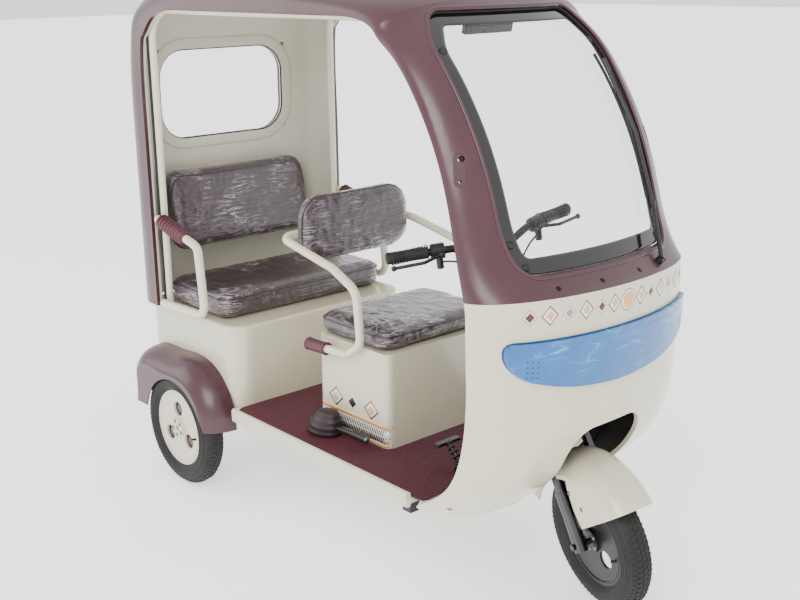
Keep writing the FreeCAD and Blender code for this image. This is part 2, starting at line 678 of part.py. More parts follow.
# ---- rear seat ------------------------------------------------------------------------------------
box_wall = 8.0
box_half_width = rear_floor_half + 6
seat_floor_z = mat_bottom + rest_gap
rear_box_back = aft(-rear_wall_back + 46)
rear_box = fillet_along(box(rear_box_back, box_front, -box_half_width, box_half_width,
                            seat_floor_z, bench_base), V(0, 0, 1), 70)
rear_box = rear_box.makeFillet(10, [e for e in rear_box.Edges if e.BoundBox.ZMin > bench_base - 1])
hollow_box = fillet_along(box(rear_box_back + box_wall, box_front - box_wall, box_wall - box_half_width,
                              box_half_width - box_wall, seat_floor_z - 5, bench_base - box_wall), V(0, 0, 1), 62)
save("rear_seat_box", rear_box.cut(hollow_box))
bench_back = aft(-208)
bench = round_box(bench_back, aft(bench_front), -bench_half_width, bench_half_width,
                  bench_base + rest_gap, bench_base + bench_thickness, 50, 22)
save("rear_bench_cushion", bench)
backrest_half = 302.0
backrest_low = 746.0
backrest_top = 1044.0
backrest_thickness = 74.0
backrest = fillet_along(box(0, backrest_thickness, -backrest_half, backrest_half, 0, backrest_top - backrest_low),
                        V(1, 0, 0), 60)
backrest = backrest.makeFillet(20, [e for e in backrest.Edges if e.BoundBox.XLength < 0.01])
backrest.rotate(V(0, 0, 0), V(0, 1, 0), -12)
backrest.translate(V(aft(-252.8), 0, backrest_low - 4))
save("rear_backrest", backrest)

# ---- driver's seat ---------------------------------------------------------------------------------
driver_box = fillet_along(box(aft(driver_box_back), aft(driver_box_front), -driver_box_half_width,
                              driver_box_half_width, floor_top + rest_gap, driver_base), V(0, 0, 1), 26)
driver_hollow = fillet_along(box(aft(driver_box_back) + box_wall, aft(driver_box_front) - box_wall,
                                 box_wall - driver_box_half_width, driver_box_half_width - box_wall,
                                 floor_top - 5, driver_base - box_wall), V(0, 0, 1), 18)
save("driver_seat_box", driver_box.cut(driver_hollow))
driver_cushion = round_box(aft(500), aft(848), -242, 242, driver_base + rest_gap,
                           driver_base + driver_cushion_thickness, 55, 20)
save("driver_cushion", driver_cushion)
driver_rest_half = 229.0
driver_rest_low = 806.0
driver_rest_top = 1034.0
driver_rest_x = 404.0
driver_rest_thickness = 62.0
driver_rest = fillet_along(box(0, driver_rest_thickness, -driver_rest_half, driver_rest_half, 0,
                               driver_rest_top - driver_rest_low), V(1, 0, 0), 90)
driver_rest = driver_rest.makeFillet(20, [e for e in driver_rest.Edges if e.BoundBox.XLength < 0.01])
driver_rest.rotate(V(0, 0, 0), V(0, 1, 0), -6)
driver_rest.translate(V(aft(driver_rest_x), 0, driver_rest_low))
save("driver_backrest", driver_rest)
seat_tube_radius = 13.0
seat_tube_y = 262.0
seat_tube_path = [V(aft(520), seat_tube_y, 584), V(aft(700), seat_tube_y, 592), V(aft(765), seat_tube_y, 640),
                  V(aft(750), seat_tube_y, 800), V(aft(640), seat_tube_y, 850), V(aft(380.4), seat_tube_y, 902),
                  V(aft(380.4), 0, 902)]
half_frame = bent_tube(seat_tube_path, [50, 45, 60, 90, 45], seat_tube_radius)
frame = half_frame.fuse(mirror_y(half_frame))
for side in (-1, 1):
    foot_plate = box(aft(536), aft(575), driver_box_half_width + rest_gap, seat_tube_y, 574, 596)
    frame = frame.fuse(foot_plate if side > 0 else mirror_y(foot_plate))
save("driver_seat_frame", frame.removeSplitter())

# ---- rear fenders, apron and lamps -----------------------------------------------------------------
fender_out = 472.0
fender_in = box_half_width + rest_gap
fender_wall = 4.0
fender_foot = 238.0
fender_reach = [(-40, 232), (-10, 233), (12, 238), (28, 250), (43, 258), (58, 261), (73, 258), (90, 252), (106, 257),
                (118, 278), (130, 314), (139, 336), (147, 338), (155, 320), (165, 306), (180, 312), (205, 320)]
fender_layers = [(0.0, 0), (0.3, 4), (0.58, 14), (0.8, 30), (0.94, 48), (1.0, 62)]


def fender_solid(inset, y_in, y_out):
    """A domed cover: the same outline round the axle, drawn in step by step towards the outer face."""
    wires = []
    for share, draw in fender_layers:
        points = []
        for degrees, reach in fender_reach:
            angle = math.radians(degrees)
            radius = reach - draw - inset
            points.append(V(aft(radius * math.cos(angle)), y_in + (y_out - y_in) * share,
                            axle_z + radius * math.sin(angle)))
        curve = Part.BSplineCurve()
        curve.interpolate(points)
        closing = Part.LineSegment(points[-1], points[0]).toShape()
        wires.append(Part.Wire([curve.toShape(), closing]))
    return Part.makeLoft(wires, True, False)


fender = fender_solid(0, fender_in, fender_out)
inner_space = fender_solid(fender_wall, fender_in - 0.1, fender_out - fender_wall)
opening_radius = 184.0
wheel_cut = rod(V(aft(4), fender_in - 5, axle_z - 8), V(aft(4), fender_out + 5, axle_z - 8), opening_radius)
fender = fender.cut(inner_space).cut(wheel_cut)
fender = fender.cut(box(aft(-500), aft(500), 0, 600, 0, fender_foot))
fender = fender.cut(box(box_front - 2, aft(500), 0, front_floor_half + rest_gap, 0, floor_top + sill_rise + 1))
save("rear_fender_left", fender)
save("rear_fender_right", mirror_y(fender))

apron_x = aft(-rear_wall_back + 2)
apron_half = 318.0
apron = round_box(apron_x, apron_x + 22, -apron_half, apron_half, 262, bench_base - 44, 8, 4)
plate_hole_half = 80.0
plate_hole_z = 420.0
plate_hole_radius = 3.2
for side in (-1, 1):
    apron = apron.cut(rod(V(apron_x - 5, side * plate_hole_half, plate_hole_z),
                          V(apron_x + 40, side * plate_hole_half, plate_hole_z), plate_hole_radius))
save("rear_apron", apron)
lamp_pair = round_box(apron_x - 13, apron_x - rest_gap, 204, 306, 452, 506, 5, 4)
save("tail_lamps", *both_sides(lamp_pair))

# ---- pedals, levers, wiper and mirror ---------------------------------------------------------------
pedal_y = -170.0
pedal = bent_tube([V(aft(1095), pedal_y, floor_top + 6), V(aft(1085), pedal_y, 352), V(aft(1040), pedal_y, 392)],
                  12, 7)
pedal = pedal.fuse(round_box(aft(1030), aft(1050), pedal_y - 46, pedal_y + 46, 386, 394, 4, 2))
pedal = pedal.fuse(rod(V(aft(1095), pedal_y, floor_top + rest_gap), V(aft(1095), pedal_y, floor_top + 8), 20))
save("brake_pedal", pedal.removeSplitter())
brake_y = -282.0
lever_end = V(aft(808), brake_y, 356)
lever = round_box(aft(556), aft(650), brake_y - 34, brake_y + 34, floor_top + rest_gap, 368, 26, 12)
lever = lever.fuse(rod(V(aft(612), brake_y, 352), lever_end, 9)).fuse(rod(lever_end.sub(V(60, 0, 0)), lever_end, 12))
save("parking_brake", lever.removeSplitter())

wiper_lift = 10.0
wiper_root = on_screen(176, belt_share(0.045), 1)
wiper_pivot = on_screen(176, belt_share(0.045), 13)
wiper_elbow = on_screen(258, belt_share(0.24), wiper_lift)
wiper_tip = on_screen(244, belt_share(0.80), wiper_lift)
wiper_middle = on_screen(254, belt_share(0.52), wiper_lift)
wiper = rod(wiper_root, wiper_pivot, 11).fuse(rod(wiper_pivot, wiper_elbow, 6))
wiper = wiper.fuse([rod(wiper_elbow, wiper_middle, 6), rod(wiper_middle, wiper_tip, 6), Part.makeSphere(6, wiper_middle),
                    Part.makeSphere(8, wiper_elbow)])
save("wiper", wiper.removeSplitter())
mirror_centre = V(fore(-458), 0, 1560)
mirror = round_box(-9, 9, -92, 92, -26, 26, 6, 4)
mirror.rotate(V(0, 0, 0), V(0, 1, 0), 12)
mirror.translate(mirror_centre)
mirror_stem = rod(mirror_centre.add(V(4, 0, 10)), on_screen(0, 1622, -(glass_depth + glass_thickness + 0.8)), 6)
save("interior_mirror", mirror.fuse(mirror_stem).removeSplitter())

# ---- steering: fork, handlebar, grips, mudguard, front wheel ----------------------------------------
front_axle = V(front_axle_x, 0, axle_z)
leg_y = 66.0
leg_radius = 15.0
slider_radius = 19.0
yoke_along = 318.0
yoke_thickness = 26.0
column_along = 852.0
hub_half_width = 34.0
fork_pieces = []
yoke_point = head_point.add(up_fork * yoke_along)
for side in (-1, 1):
    foot_point = V(front_axle_x, side * leg_y, axle_z)
    leg_top = foot_point.add(up_fork * (yoke_along + 6))
    fork_pieces.append(rod(foot_point, leg_top, leg_radius))
    fork_pieces.append(rod(foot_point.sub(up_fork * 18), foot_point.add(up_fork * 150), slider_radius))
yoke = Part.makeBox(82, 2 * leg_y + 44, yoke_thickness, V(-34, -leg_y - 22, 0))
yoke = fillet_along(yoke, V(0, 0, 1), 20)
yoke.rotate(V(0, 0, 0), V(0, 1, 0), -rake_deg)
yoke.translate(yoke_point.sub(up_fork * yoke_thickness))
fork_pieces.append(yoke)
column_top = head_point.add(up_fork * column_along)
fork_pieces.append(rod(yoke_point.sub(up_fork * 10), column_top, column_radius))
front_stub = 9.0
fork_pieces.append(rod(V(front_axle_x, -leg_y - 26, axle_z), V(front_axle_x, leg_y + 26, axle_z), front_stub))
fork = fork_pieces[0].fuse(fork_pieces[1:]).removeSplitter()

bar_radius = 11.0
bar_centre = column_top.add(V(0, 0, 14))
bar_end = V(bar_centre.x - 62, 300, bar_centre.z + 22)
bar_points = [V(bar_end.x, -bar_end.y, bar_end.z), V(bar_centre.x - 8, -120, bar_centre.z + 18),
              V(bar_centre.x + 4, -70, bar_centre.z), V(bar_centre.x + 4, 70, bar_centre.z),
              V(bar_centre.x - 8, 120, bar_centre.z + 18), V(bar_end.x, bar_end.y, bar_end.z)]
bar = bent_tube(bar_points, 30, bar_radius)
clamp = round_box(bar_centre.x - 22, bar_centre.x + 30, -36, 36, bar_centre.z - 16, bar_centre.z + 16, 8, 4)
handlebar_pieces = [bar, clamp]
grip_pieces = []
for side in (-1, 1):
    outer = V(bar_end.x, side * bar_end.y, bar_end.z)
    inner = V(bar_centre.x - 8, side * 120, bar_centre.z + 18)
    along = inner.sub(outer).normalize()
    grip_start = outer.sub(along * 4)
    grip_stop = outer.add(along * 118)
    hand_grip = rod(grip_start, grip_stop, 17)
    hand_grip = hand_grip.makeFillet(5, [e for e in hand_grip.Edges if e.Curve.TypeId == "Part::GeomCircle"])
    grip_pieces.append(hand_grip.cut(rod(outer.sub(along * 30), outer.add(along * 160), bar_radius + rest_gap)))
    perch_low = outer.add(along * 124)
    perch_high = outer.add(along * 160)
    handlebar_pieces.append(rod(perch_low, perch_high, 21))
    lever_root = outer.add(along * 142).add(V(26, 0, -4))
    lever_mid = outer.add(along * 80).add(V(52, 0, -12))
    lever_tip = outer.add(along * -6).add(V(50, 0, -16))
    handlebar_pieces.append(rod(outer.add(along * 142), lever_root, 8))
    handlebar_pieces.append(rod(lever_root, lever_mid, 5))
    handlebar_pieces.append(Part.makeSphere(5.0, lever_mid))
    handlebar_pieces.append(Part.makeSphere(8.0, lever_root))
    handlebar_pieces.append(rod(lever_mid, lever_tip, 5))
    handlebar_pieces.append(Part.makeSphere(8, lever_tip))
handlebar = handlebar_pieces[0].fuse(handlebar_pieces[1:]).removeSplitter()
handlebar = handlebar.cut(rod(column_top.sub(up_fork * 60), column_top, column_radius + rest_gap))

guard_radius = 252.0
guard_half_width = 74.0
guard_wall = 4.0
guard_from = 30.0
guard_to = 162.0
guard_skirt = 190.0
guard_low_tip = (29, 67)


def guard_section(inset):
    half = guard_half_width - inset
    crown = guard_radius - inset
    rim = 60.0
    corner = 52.0 - inset
    low_y = V(front_axle_x + rim, -half, axle_z)
    edges = [Part.LineSegment(low_y, V(front_axle_x + crown - corner, -half, axle_z)).toShape()]
    turn = corner * math.sqrt(0.5)
    edges.append(Part.Arc(V(front_axle_x + crown - corner, -half, axle_z),
                          V(front_axle_x + crown - corner + turn, -half + corner - turn, axle_z),
                          V(front_axle_x + crown, -half + corner, axle_z)).toShape())
    edges.append(Part.LineSegment(V(front_axle_x + crown, -half + corner, axle_z),
                                  V(front_axle_x + crown, half - corner, axle_z)).toShape())
    edges.append(Part.Arc(V(front_axle_x + crown, half - corner, axle_z),
                          V(front_axle_x + crown - corner + turn, half - corner + turn, axle_z),
                          V(front_axle_x + crown - corner, half, axle_z)).toShape())
    edges.append(Part.LineSegment(V(front_axle_x + crown - corner, half, axle_z),
                                  V(front_axle_x + rim, half, axle_z)).toShape())
    edges.append(Part.LineSegment(V(front_axle_x + rim, half, axle_z), low_y).toShape())
    return Part.Face(Part.Wire(edges))


def swept_guard(inset, start, sweep):
    face = guard_section(inset)
    face.rotate(front_axle, V(0, 1, 0), -start)
    return face.revolve(front_axle, V(0, -1, 0), sweep)


guard = swept_guard(0, guard_from, guard_to - guard_from)
guard = guard.cut(swept_guard(guard_wall, guard_from - 10, guard_to - guard_from + 20))
for side in (-1, 1):
    foot_point = V(front_axle_x, side * leg_y, axle_z)
    guard = guard.cut(rod(foot_point, foot_point.add(up_fork * 400), leg_radius + rest_gap))
    guard = guard.cut(rod(foot_point, foot_point.add(up_fork * 154), slider_radius + 2))


def beside_wheel(points):
    """A prism across the front wheel over an outline of points measured from its axle."""
    return outline_xz([(front_axle_x + x, axle_z + z) for x, z in points], -200, 200)


guard = guard.cut(beside_wheel([guard_low_tip, (195, 182), (340, 282), (500, 0), (29, -300)]))
behind_skirt = beside_wheel([guard_low_tip, (-4, 108), (-29, 163), (-40, 230), (-400, 230), (-400, -300), (29, -300)])
guard = guard.cut(behind_skirt.common(rod(V(front_axle_x, -200, axle_z), V(front_axle_x, 200, axle_z), guard_skirt)))

def turned(shape):
    """The steered pieces stand turned about the steering axis at rest."""
    result = shape.copy()
    result.rotate(head_point, up_fork, steer_at_rest_deg)
    return result


save("front_fork", turned(fork))
save("handlebar", turned(handlebar))
save("handlebar_grips", *[turned(piece) for piece in grip_pieces])
save("front_mudguard", turned(guard))


def tyre_solid(centre):
    """A round-shouldered tyre, hollow down to the rim."""
    half = tyre_width / 2
    crown = tyre_radius
    outline = [(-half + 12, rim_radius), (-half, rim_radius + 14), (-half, crown - 34), (-half + 9, crown - 14),
               (-half + 26, crown - 2), (0, crown), (half - 26, crown - 2), (half - 9, crown - 14),
               (half, crown - 34), (half, rim_radius + 14), (half - 12, rim_radius), (half - 12, rim_radius + 12),
               (half - 10, crown - 34), (half - 24, crown - 16), (-half + 24, crown - 16), (-half + 10, crown - 34),
               (-half + 12, rim_radius + 12)]
    return revolve_profile(outline, centre, V(0, 1, 0))


def wheel_solid(centre, bore, outward):
    """Rim and pressed disc with a hub; the disc sits towards the outer face."""
    half = tyre_width / 2 - 12 - rest_gap
    lip = rim_radius - rest_gap
    disc_out = outward * (tyre_width / 2 - 14)
    disc_in = outward * (tyre_width / 2 - 22)
    rim = revolve_profile([(-half, lip), (half, lip), (half, lip - 8), (half - 8, lip - 22), (8 - half, lip - 22),
                           (-half, lip - 8)], centre, V(0, 1, 0))
    rim = rim.cut(rod(centre.add(V(0, -half - 5, 0)), centre.add(V(0, half + 5, 0)), lip - 28 + 3))
    face = rod(centre.add(V(0, disc_in, 0)), centre.add(V(0, disc_out, 0)), lip - 8)
    face = face.fuse(rod(centre.add(V(0, -hub_half_width, 0)), centre.add(V(0, hub_half_width, 0)), 34))
    for number in range(3):
        angle = math.radians(90 + 120 * number)
        middle = V(centre.x + 68 * math.cos(angle), centre.y, centre.z + 68 * math.sin(angle))
        face = face.cut(rod(middle.add(V(0, disc_in - 20, 0)), middle.add(V(0, disc_out + 20, 0)), 26))
    return rim.fuse(face).removeSplitter().cut(rod(centre.sub(V(0, 99, 0)), centre.add(V(0, 99, 0)), bore))


save("front_tyre", turned(tyre_solid(front_axle)))
save("front_wheel", turned(wheel_solid(front_axle, front_stub + stub_clearance, -1)))
for side, name in ((-1, "right"), (1, "left")):
    centre = V(aft(0), side * track / 2, axle_z)
    save("rear_tyre_" + name, tyre_solid(centre))
    save("rear_wheel_" + name, wheel_solid(centre, stub_radius + stub_clearance, side))
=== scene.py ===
import bpy, bmesh, json, math
from mathutils import Matrix, Vector, noise
from mathutils.bvhtree import BVHTree


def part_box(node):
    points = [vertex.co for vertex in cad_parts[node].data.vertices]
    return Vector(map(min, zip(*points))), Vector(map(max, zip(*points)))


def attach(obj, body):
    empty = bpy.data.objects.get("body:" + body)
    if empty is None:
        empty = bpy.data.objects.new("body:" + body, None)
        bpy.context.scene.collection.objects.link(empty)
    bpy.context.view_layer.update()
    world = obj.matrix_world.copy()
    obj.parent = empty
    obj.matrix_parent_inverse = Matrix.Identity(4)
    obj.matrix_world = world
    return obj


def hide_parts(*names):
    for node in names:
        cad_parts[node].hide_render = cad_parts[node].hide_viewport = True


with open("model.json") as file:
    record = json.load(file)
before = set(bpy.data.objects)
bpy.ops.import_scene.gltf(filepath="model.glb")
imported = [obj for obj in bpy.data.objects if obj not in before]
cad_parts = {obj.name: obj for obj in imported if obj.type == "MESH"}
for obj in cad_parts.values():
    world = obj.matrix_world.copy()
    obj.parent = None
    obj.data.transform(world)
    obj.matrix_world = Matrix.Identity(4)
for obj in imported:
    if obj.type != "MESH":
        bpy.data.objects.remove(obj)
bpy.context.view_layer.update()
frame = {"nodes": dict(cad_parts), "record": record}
nodes = frame["nodes"]


# ==== Chassis and running gear ===================================================================
# Welded square tube under the floor with leaf springs clamped to the axle by U bolts, all painted
# black and dusty. Everything here is below the floor line, with the bolt heads that hold it.
def linear(code, alpha=1.0):
    """An sRGB hex colour as the linear values a shader takes."""
    parts = [int(code[start:start + 2], 16) / 255 for start in (0, 2, 4)]
    return [part / 12.92 if part <= 0.04045 else ((part + 0.055) / 1.055) ** 2.4 for part in parts] + [alpha]


def add(tree, kind, inputs=None, **settings):
    """One node, with its settings and its inputs given as values or as other nodes' outputs."""
    made = tree.nodes.new(kind)
    for key, value in settings.items():
        setattr(made, key, value)
    for key, value in (inputs or {}).items():
        if isinstance(value, bpy.types.NodeSocket):
            tree.links.new(value, made.inputs[key])
        else:
            made.inputs[key].default_value = value
    return made


def finish(name, dark, light, rough, patch=0.12, grain=0.002, depth=0.0002, **shader):
    """A surface of two close tones in patches of one size that also shift its gloss, with a fine grain as bump."""
    material = bpy.data.materials.new(name)
    material.use_nodes = True
    tree = material.node_tree
    surface = tree.nodes["Principled BSDF"]
    place = add(tree, "ShaderNodeTexCoord").outputs["Object"]
    broad = add(tree, "ShaderNodeTexNoise", {"Vector": place, "Scale": 1 / patch, "Detail": 4.0})
    fine = add(tree, "ShaderNodeTexNoise", {"Vector": place, "Scale": 1 / grain, "Detail": 2.0})
    tone = add(tree, "ShaderNodeMix", {0: broad.outputs["Fac"], 6: linear(dark), 7: linear(light)}, data_type="RGBA")
    gloss = add(tree, "ShaderNodeMapRange", {"Value": broad.outputs["Fac"], "From Min": 0.3, "From Max": 0.7,
                                             "To Min": rough * 0.85, "To Max": rough * 1.15})
    bump = add(tree, "ShaderNodeBump", {"Height": fine.outputs["Fac"], "Strength": 0.3, "Distance": depth})
    tree.links.new(tone.outputs[2], surface.inputs["Base Color"])
    tree.links.new(gloss.outputs["Result"], surface.inputs["Roughness"])
    tree.links.new(bump.outputs["Normal"], surface.inputs["Normal"])
    for key, value in shader.items():
        surface.inputs[key.replace("_", " ")].default_value = value
    return material


def dress(material, *names):
    """Give CAD nodes their material."""
    for name in names:
        data = nodes[name].data
        data.materials.clear()
        data.materials.append(material)


def fitted(name, mesh, material, body="vehicle_body", smooth=True):
    """A finished piece: its mesh, its material and the body it moves with."""
    piece = bpy.data.objects.new(name, mesh)
    bpy.context.scene.collection.objects.link(piece)
    mesh.materials.clear()
    mesh.materials.append(material)
    for face in mesh.polygons:
        face.use_smooth = smooth
        face.material_index = 0
    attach(piece, body)
    return piece


def skin(*names):
    """The faces of CAD nodes, to lay details on."""
    points, faces = [], []
    for name in names:
        data = nodes[name].data
        start = len(points)
        points.extend(vertex.co.copy() for vertex in data.vertices)
        faces.extend([start + index for index in face.vertices] for face in data.polygons)
    return BVHTree.FromPolygons(points, faces)


def landed(tree, start, way, lift=0.0):
    """Where a ray meets a skin: the point, lifted along the outward normal, and that normal."""
    spot, out, _, _ = tree.ray_cast(Vector(start), Vector(way))
    if spot is None:
        return None
    if out.dot(Vector(way)) > 0:
        out = -out
    return spot + out * lift, out


def new_tree(name, sizes):
    """An empty Geometry Nodes tree with a mesh input, these sizes and a material; the last step is added by closed_tree."""
    tree = bpy.data.node_groups.new(name, "GeometryNodeTree")
    tree.interface.new_socket("Geometry", in_out="INPUT", socket_type="NodeSocketGeometry")
    for size in sizes:
        tree.interface.new_socket(size, in_out="INPUT", socket_type="NodeSocketFloat")
    tree.interface.new_socket("Material", in_out="INPUT", socket_type="NodeSocketMaterial")
    tree.interface.new_socket("Geometry", in_out="OUTPUT", socket_type="NodeSocketGeometry")
    return tree, add(tree, "NodeGroupInput")


def closed_tree(tree, entry, geometry):
    real = add(tree, "GeometryNodeRealizeInstances", {"Geometry": geometry})
    coated = add(tree, "GeometryNodeSetMaterial", {"Geometry": real.outputs[0], "Material": entry.outputs["Material"]})
    add(tree, "NodeGroupOutput", {"Geometry": coated.outputs[0]})
    return tree


def grown(name, base, tree, sizes, material, body="vehicle_body", smooth=True):
    """Run a tree over a mesh of places or lines and keep the result as one plain mesh."""
    carrier = bpy.data.objects.new(name + "_base", base)
    bpy.context.scene.collection.objects.link(carrier)
    modifier = carrier.modifiers.new("grow", "NODES")
    modifier.node_group = tree
    for socket in tree.interface.items_tree:
        if socket.in_out == "INPUT" and socket.name in sizes:
            modifier[socket.identifier] = sizes[socket.name]
        if socket.in_out == "INPUT" and socket.name == "Material":
            modifier[socket.identifier] = material
    ready = carrier.evaluated_get(bpy.context.evaluated_depsgraph_get())
    mesh = bpy.data.meshes.new_from_object(ready)
    mesh.name = name
    bpy.data.objects.remove(carrier)
    bpy.data.meshes.remove(base)
    return fitted(name, mesh, material, body, smooth)


def places(name, spots):
    """Points for a repeat: each spot is a point, its outward normal and the direction it points along."""
    mesh = bpy.data.meshes.new(name + "_places")
    mesh.from_pydata([spot[0] for spot in spots], [], [])
    turn = mesh.attributes.new("turn", "FLOAT_VECTOR", "POINT")
    for index, (_, out, along) in enumerate(spots):
        z_axis = Vector(out).normalized()
        x_axis = (Vector(along) - z_axis * Vector(along).dot(z_axis)).normalized()
        y_axis = z_axis.cross(x_axis)
        turn.data[index].vector = Matrix((x_axis, y_axis, z_axis)).transposed().to_euler()
    return mesh


def head_tree():
    """A pan-head screw on a thin washer, at each place."""
    tree, entry = new_tree("screw_heads", ["Radius", "Height"])
    turn = add(tree, "GeometryNodeInputNamedAttribute", {"Name": "turn"}, data_type="FLOAT_VECTOR")
    spin = add(tree, "FunctionNodeEulerToRotation", {0: turn.outputs[0]})
    ball = add(tree, "GeometryNodeMeshUVSphere", {"Segments": 16, "Rings": 8, "Radius": 1.0})
    dome_size = add(tree, "ShaderNodeCombineXYZ", {0: entry.outputs["Radius"], 1: entry.outputs["Radius"],
                                                   2: entry.outputs["Height"]})
    dome = add(tree, "GeometryNodeTransform", {"Geometry": ball.outputs["Mesh"], "Scale": dome_size.outputs[0]})
    wide = add(tree, "ShaderNodeMath", {0: entry.outputs["Radius"], 1: 1.35}, operation="MULTIPLY")
    thin = add(tree, "ShaderNodeMath", {0: entry.outputs["Height"], 1: 0.5}, operation="MULTIPLY")
    washer = add(tree, "GeometryNodeMeshCylinder", {"Vertices": 20, "Radius": wide.outputs[0], "Depth": thin.outputs[0]})
    both = add(tree, "GeometryNodeJoinGeometry")
    tree.links.new(washer.outputs["Mesh"], both.inputs[0])
    tree.links.new(dome.outputs[0], both.inputs[0])
    repeat = add(tree, "GeometryNodeInstanceOnPoints", {"Points": entry.outputs["Geometry"], "Instance": both.outputs[0],
                                                        "Rotation": spin.outputs[0]})
    return closed_tree(tree, entry, repeat.outputs[0])


screw_heads = head_tree()


def screws(name, spots, radius, height, material, body="vehicle_body"):
    return grown(name, places(name, spots), screw_heads, {"Radius": radius, "Height": height}, material, body)


def bead_tree():
    """A round bead along each line, closed at its ends."""
    tree, entry = new_tree("round_bead", ["Radius"])
    line = add(tree, "GeometryNodeMeshToCurve", {0: entry.outputs["Geometry"]})
    ring = add(tree, "GeometryNodeCurvePrimitiveCircle", {"Resolution": 10, "Radius": entry.outputs["Radius"]})
    bead = add(tree, "GeometryNodeCurveToMesh", {"Curve": line.outputs[0], "Profile Curve": ring.outputs[0],
                                                 "Fill Caps": True})
    return closed_tree(tree, entry, bead.outputs[0])


round_bead = bead_tree()


def lines(name, paths, closed):
    """Lines for a bead: each path is a list of points."""
    points, edges = [], []
    for path in paths:
        start = len(points)
        points.extend(path)
        edges.extend((start + index, start + index + 1) for index in range(len(path) - 1))
        if closed:
            edges.append((len(points) - 1, start))
    mesh = bpy.data.meshes.new(name + "_lines")
    mesh.from_pydata(points, edges, [])
    return mesh


def beads(name, paths, radius, material, body="vehicle_body", closed=False):
    return grown(name, lines(name, paths, closed), round_bead, {"Radius": radius}, material, body)


# Painted steel: black enamel is dark, fairly glossy and evenly orange-peeled; cast parts are duller.
black_enamel = finish("black_enamel", "0B0B0C", "161617", 0.38)
spring_steel = finish("rolled_spring_steel", "1D1C1B", "2C2927", 0.5, Metallic=0.6)
cast_axle = finish("painted_cast_axle", "161616", "232324", 0.5)
bolt_zinc = finish("zinc_plated_bolt", "6E6C68", "8A8883", 0.35, Metallic=0.9)
dress(black_enamel, "chassis_frame", "brake_pedal", "wiper", "handlebar", "rear_apron")
dress(spring_steel, "leaf_springs")
dress(cast_axle, "rear_axle")
dress(finish("moulded_battery_case", "1B1C1E", "26282A", 0.55), "battery_pack")
axle_spin = [joint for joint in frame["record"]["behaviour"]["joints"] if joint["name"] == "left_rear_wheel_spin"][0]
axle_x, wheel_y, axle_z = axle_spin["pos_m"]
spring_skin = skin("rear_axle", "leaf_springs")
u_bolt_nuts = []
for side in (-1, 1):
    for ahead in (-0.022, 0.022):
        for across in (-0.014, 0.014):
            hit = landed(spring_skin, (axle_x + ahead, side * 0.25 + across, 0.05), (0, 0, 1))
            if hit:
                u_bolt_nuts.append((hit[0], hit[1], (1, 0, 0)))
screws("u_bolt_nuts", u_bolt_nuts, 0.006, 0.005, bolt_zinc)

# ==== Body panels ================================================================================
# Thin moulded plastic panels: satin maroon outside the cab, cream for the fairing, boxes and liners,
# screwed to the frame behind. The maroon is smooth with a soft sheen; the cream is glossier.
maroon_plastic = finish("moulded_maroon_plastic", "3A1821", "431D27", 0.34, depth=0.00008, Coat_Weight=0.3, Coat_Roughness=0.2)
cream_plastic = finish("moulded_cream_plastic", "CBC4AA", "D3CDB5", 0.24, depth=0.00005, Coat_Weight=0.6, Coat_Roughness=0.08)
cream_liner = finish("satin_cream_liner", "BDB8A8", "C8C3B3", 0.55, grain=0.0015)
dress(maroon_plastic, "roof_shell", "rear_shell", "windscreen_frame", "rear_fender_left", "rear_fender_right", "leg_shield")
dress(cream_plastic, "front_fairing", "front_mudguard", "rear_seat_box", "driver_seat_box")
dress(cream_liner, "roof_liner", "rear_liner")
moulded_black = finish("moulded_black_plastic", "101011", "19191A", 0.45)
dress(moulded_black, "wheel_well", "interior_mirror")
dress(finish("textured_dash_plastic", "2A181C", "332026", 0.6, grain=0.0012, depth=0.0004), "dashboard")
black_rubber = finish("extruded_black_rubber", "0C0C0C", "161616", 0.62, grain=0.001)

frame_skin = skin("windscreen_frame")
fairing_skin = skin("front_fairing")
front_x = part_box("front_fairing")[1].x
floor_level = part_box("floor_mat")[1].z


def slab(form, grid, thick, loop=False):
    """A thin closed sheet over a grid of points with outward normals; loop joins its last column to its first."""
    rows, columns = len(grid), len(grid[0])
    top = [[form.verts.new(point) for point, _ in row] for row in grid]
    low = [[form.verts.new(point - out * thick) for point, out in row] for row in grid]
    for row in range(rows - 1):
        for column in range(columns if loop else columns - 1):
            after = (column + 1) % columns
            form.faces.new((top[row][column], top[row][after], top[row + 1][after], top[row + 1][column]))
            form.faces.new((low[row][column], low[row + 1][column], low[row + 1][after], low[row][after]))
    for row in (0, rows - 1):
        for column in range(columns if loop else columns - 1):
            after = (column + 1) % columns
            form.faces.new((top[row][column], top[row][after], low[row][after], low[row][column]))
    if not loop:
        for column in (0, columns - 1):
            for row in range(rows - 1):
                form.faces.new((top[row][column], top[row + 1][column], low[row + 1][column], low[row][column]))
    bmesh.ops.recalc_face_normals(form, faces=form.faces)


def meshed(name, form):
    mesh = bpy.data.meshes.new(name)
    form.to_mesh(mesh)
    form.free()
    return mesh


# Door seal: a black push-on rubber bead where the cream tubes meet the maroon shell, down each side.
tube_low, tube_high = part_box("door_frame_tubes")
seal_radius = 0.0045
seal_paths = []
for side in (-1, 1):
    seal_y = side * (tube_high.y - 0.002)
    back_x = tube_low.x + 0.004
    path = [Vector((back_x, seal_y, tube_low.z + 0.004)), Vector((back_x, seal_y, tube_high.z - 0.105))]
    for step in range(1, 9):
        angle = math.radians(90 * step / 8)
        path.append(Vector((back_x + 0.1 * (1 - math.cos(angle)), seal_y, tube_high.z - 0.105 + 0.1 * math.sin(angle))))
    path.append(Vector((tube_high.x - 0.004, side * (tube_high.y - 0.019), tube_high.z - 0.005)))
    seal_paths.append([Vector((point.x, point.y + side * 0.004, point.z)) for point in path])
beads("door_seals", seal_paths, seal_radius, black_rubber)

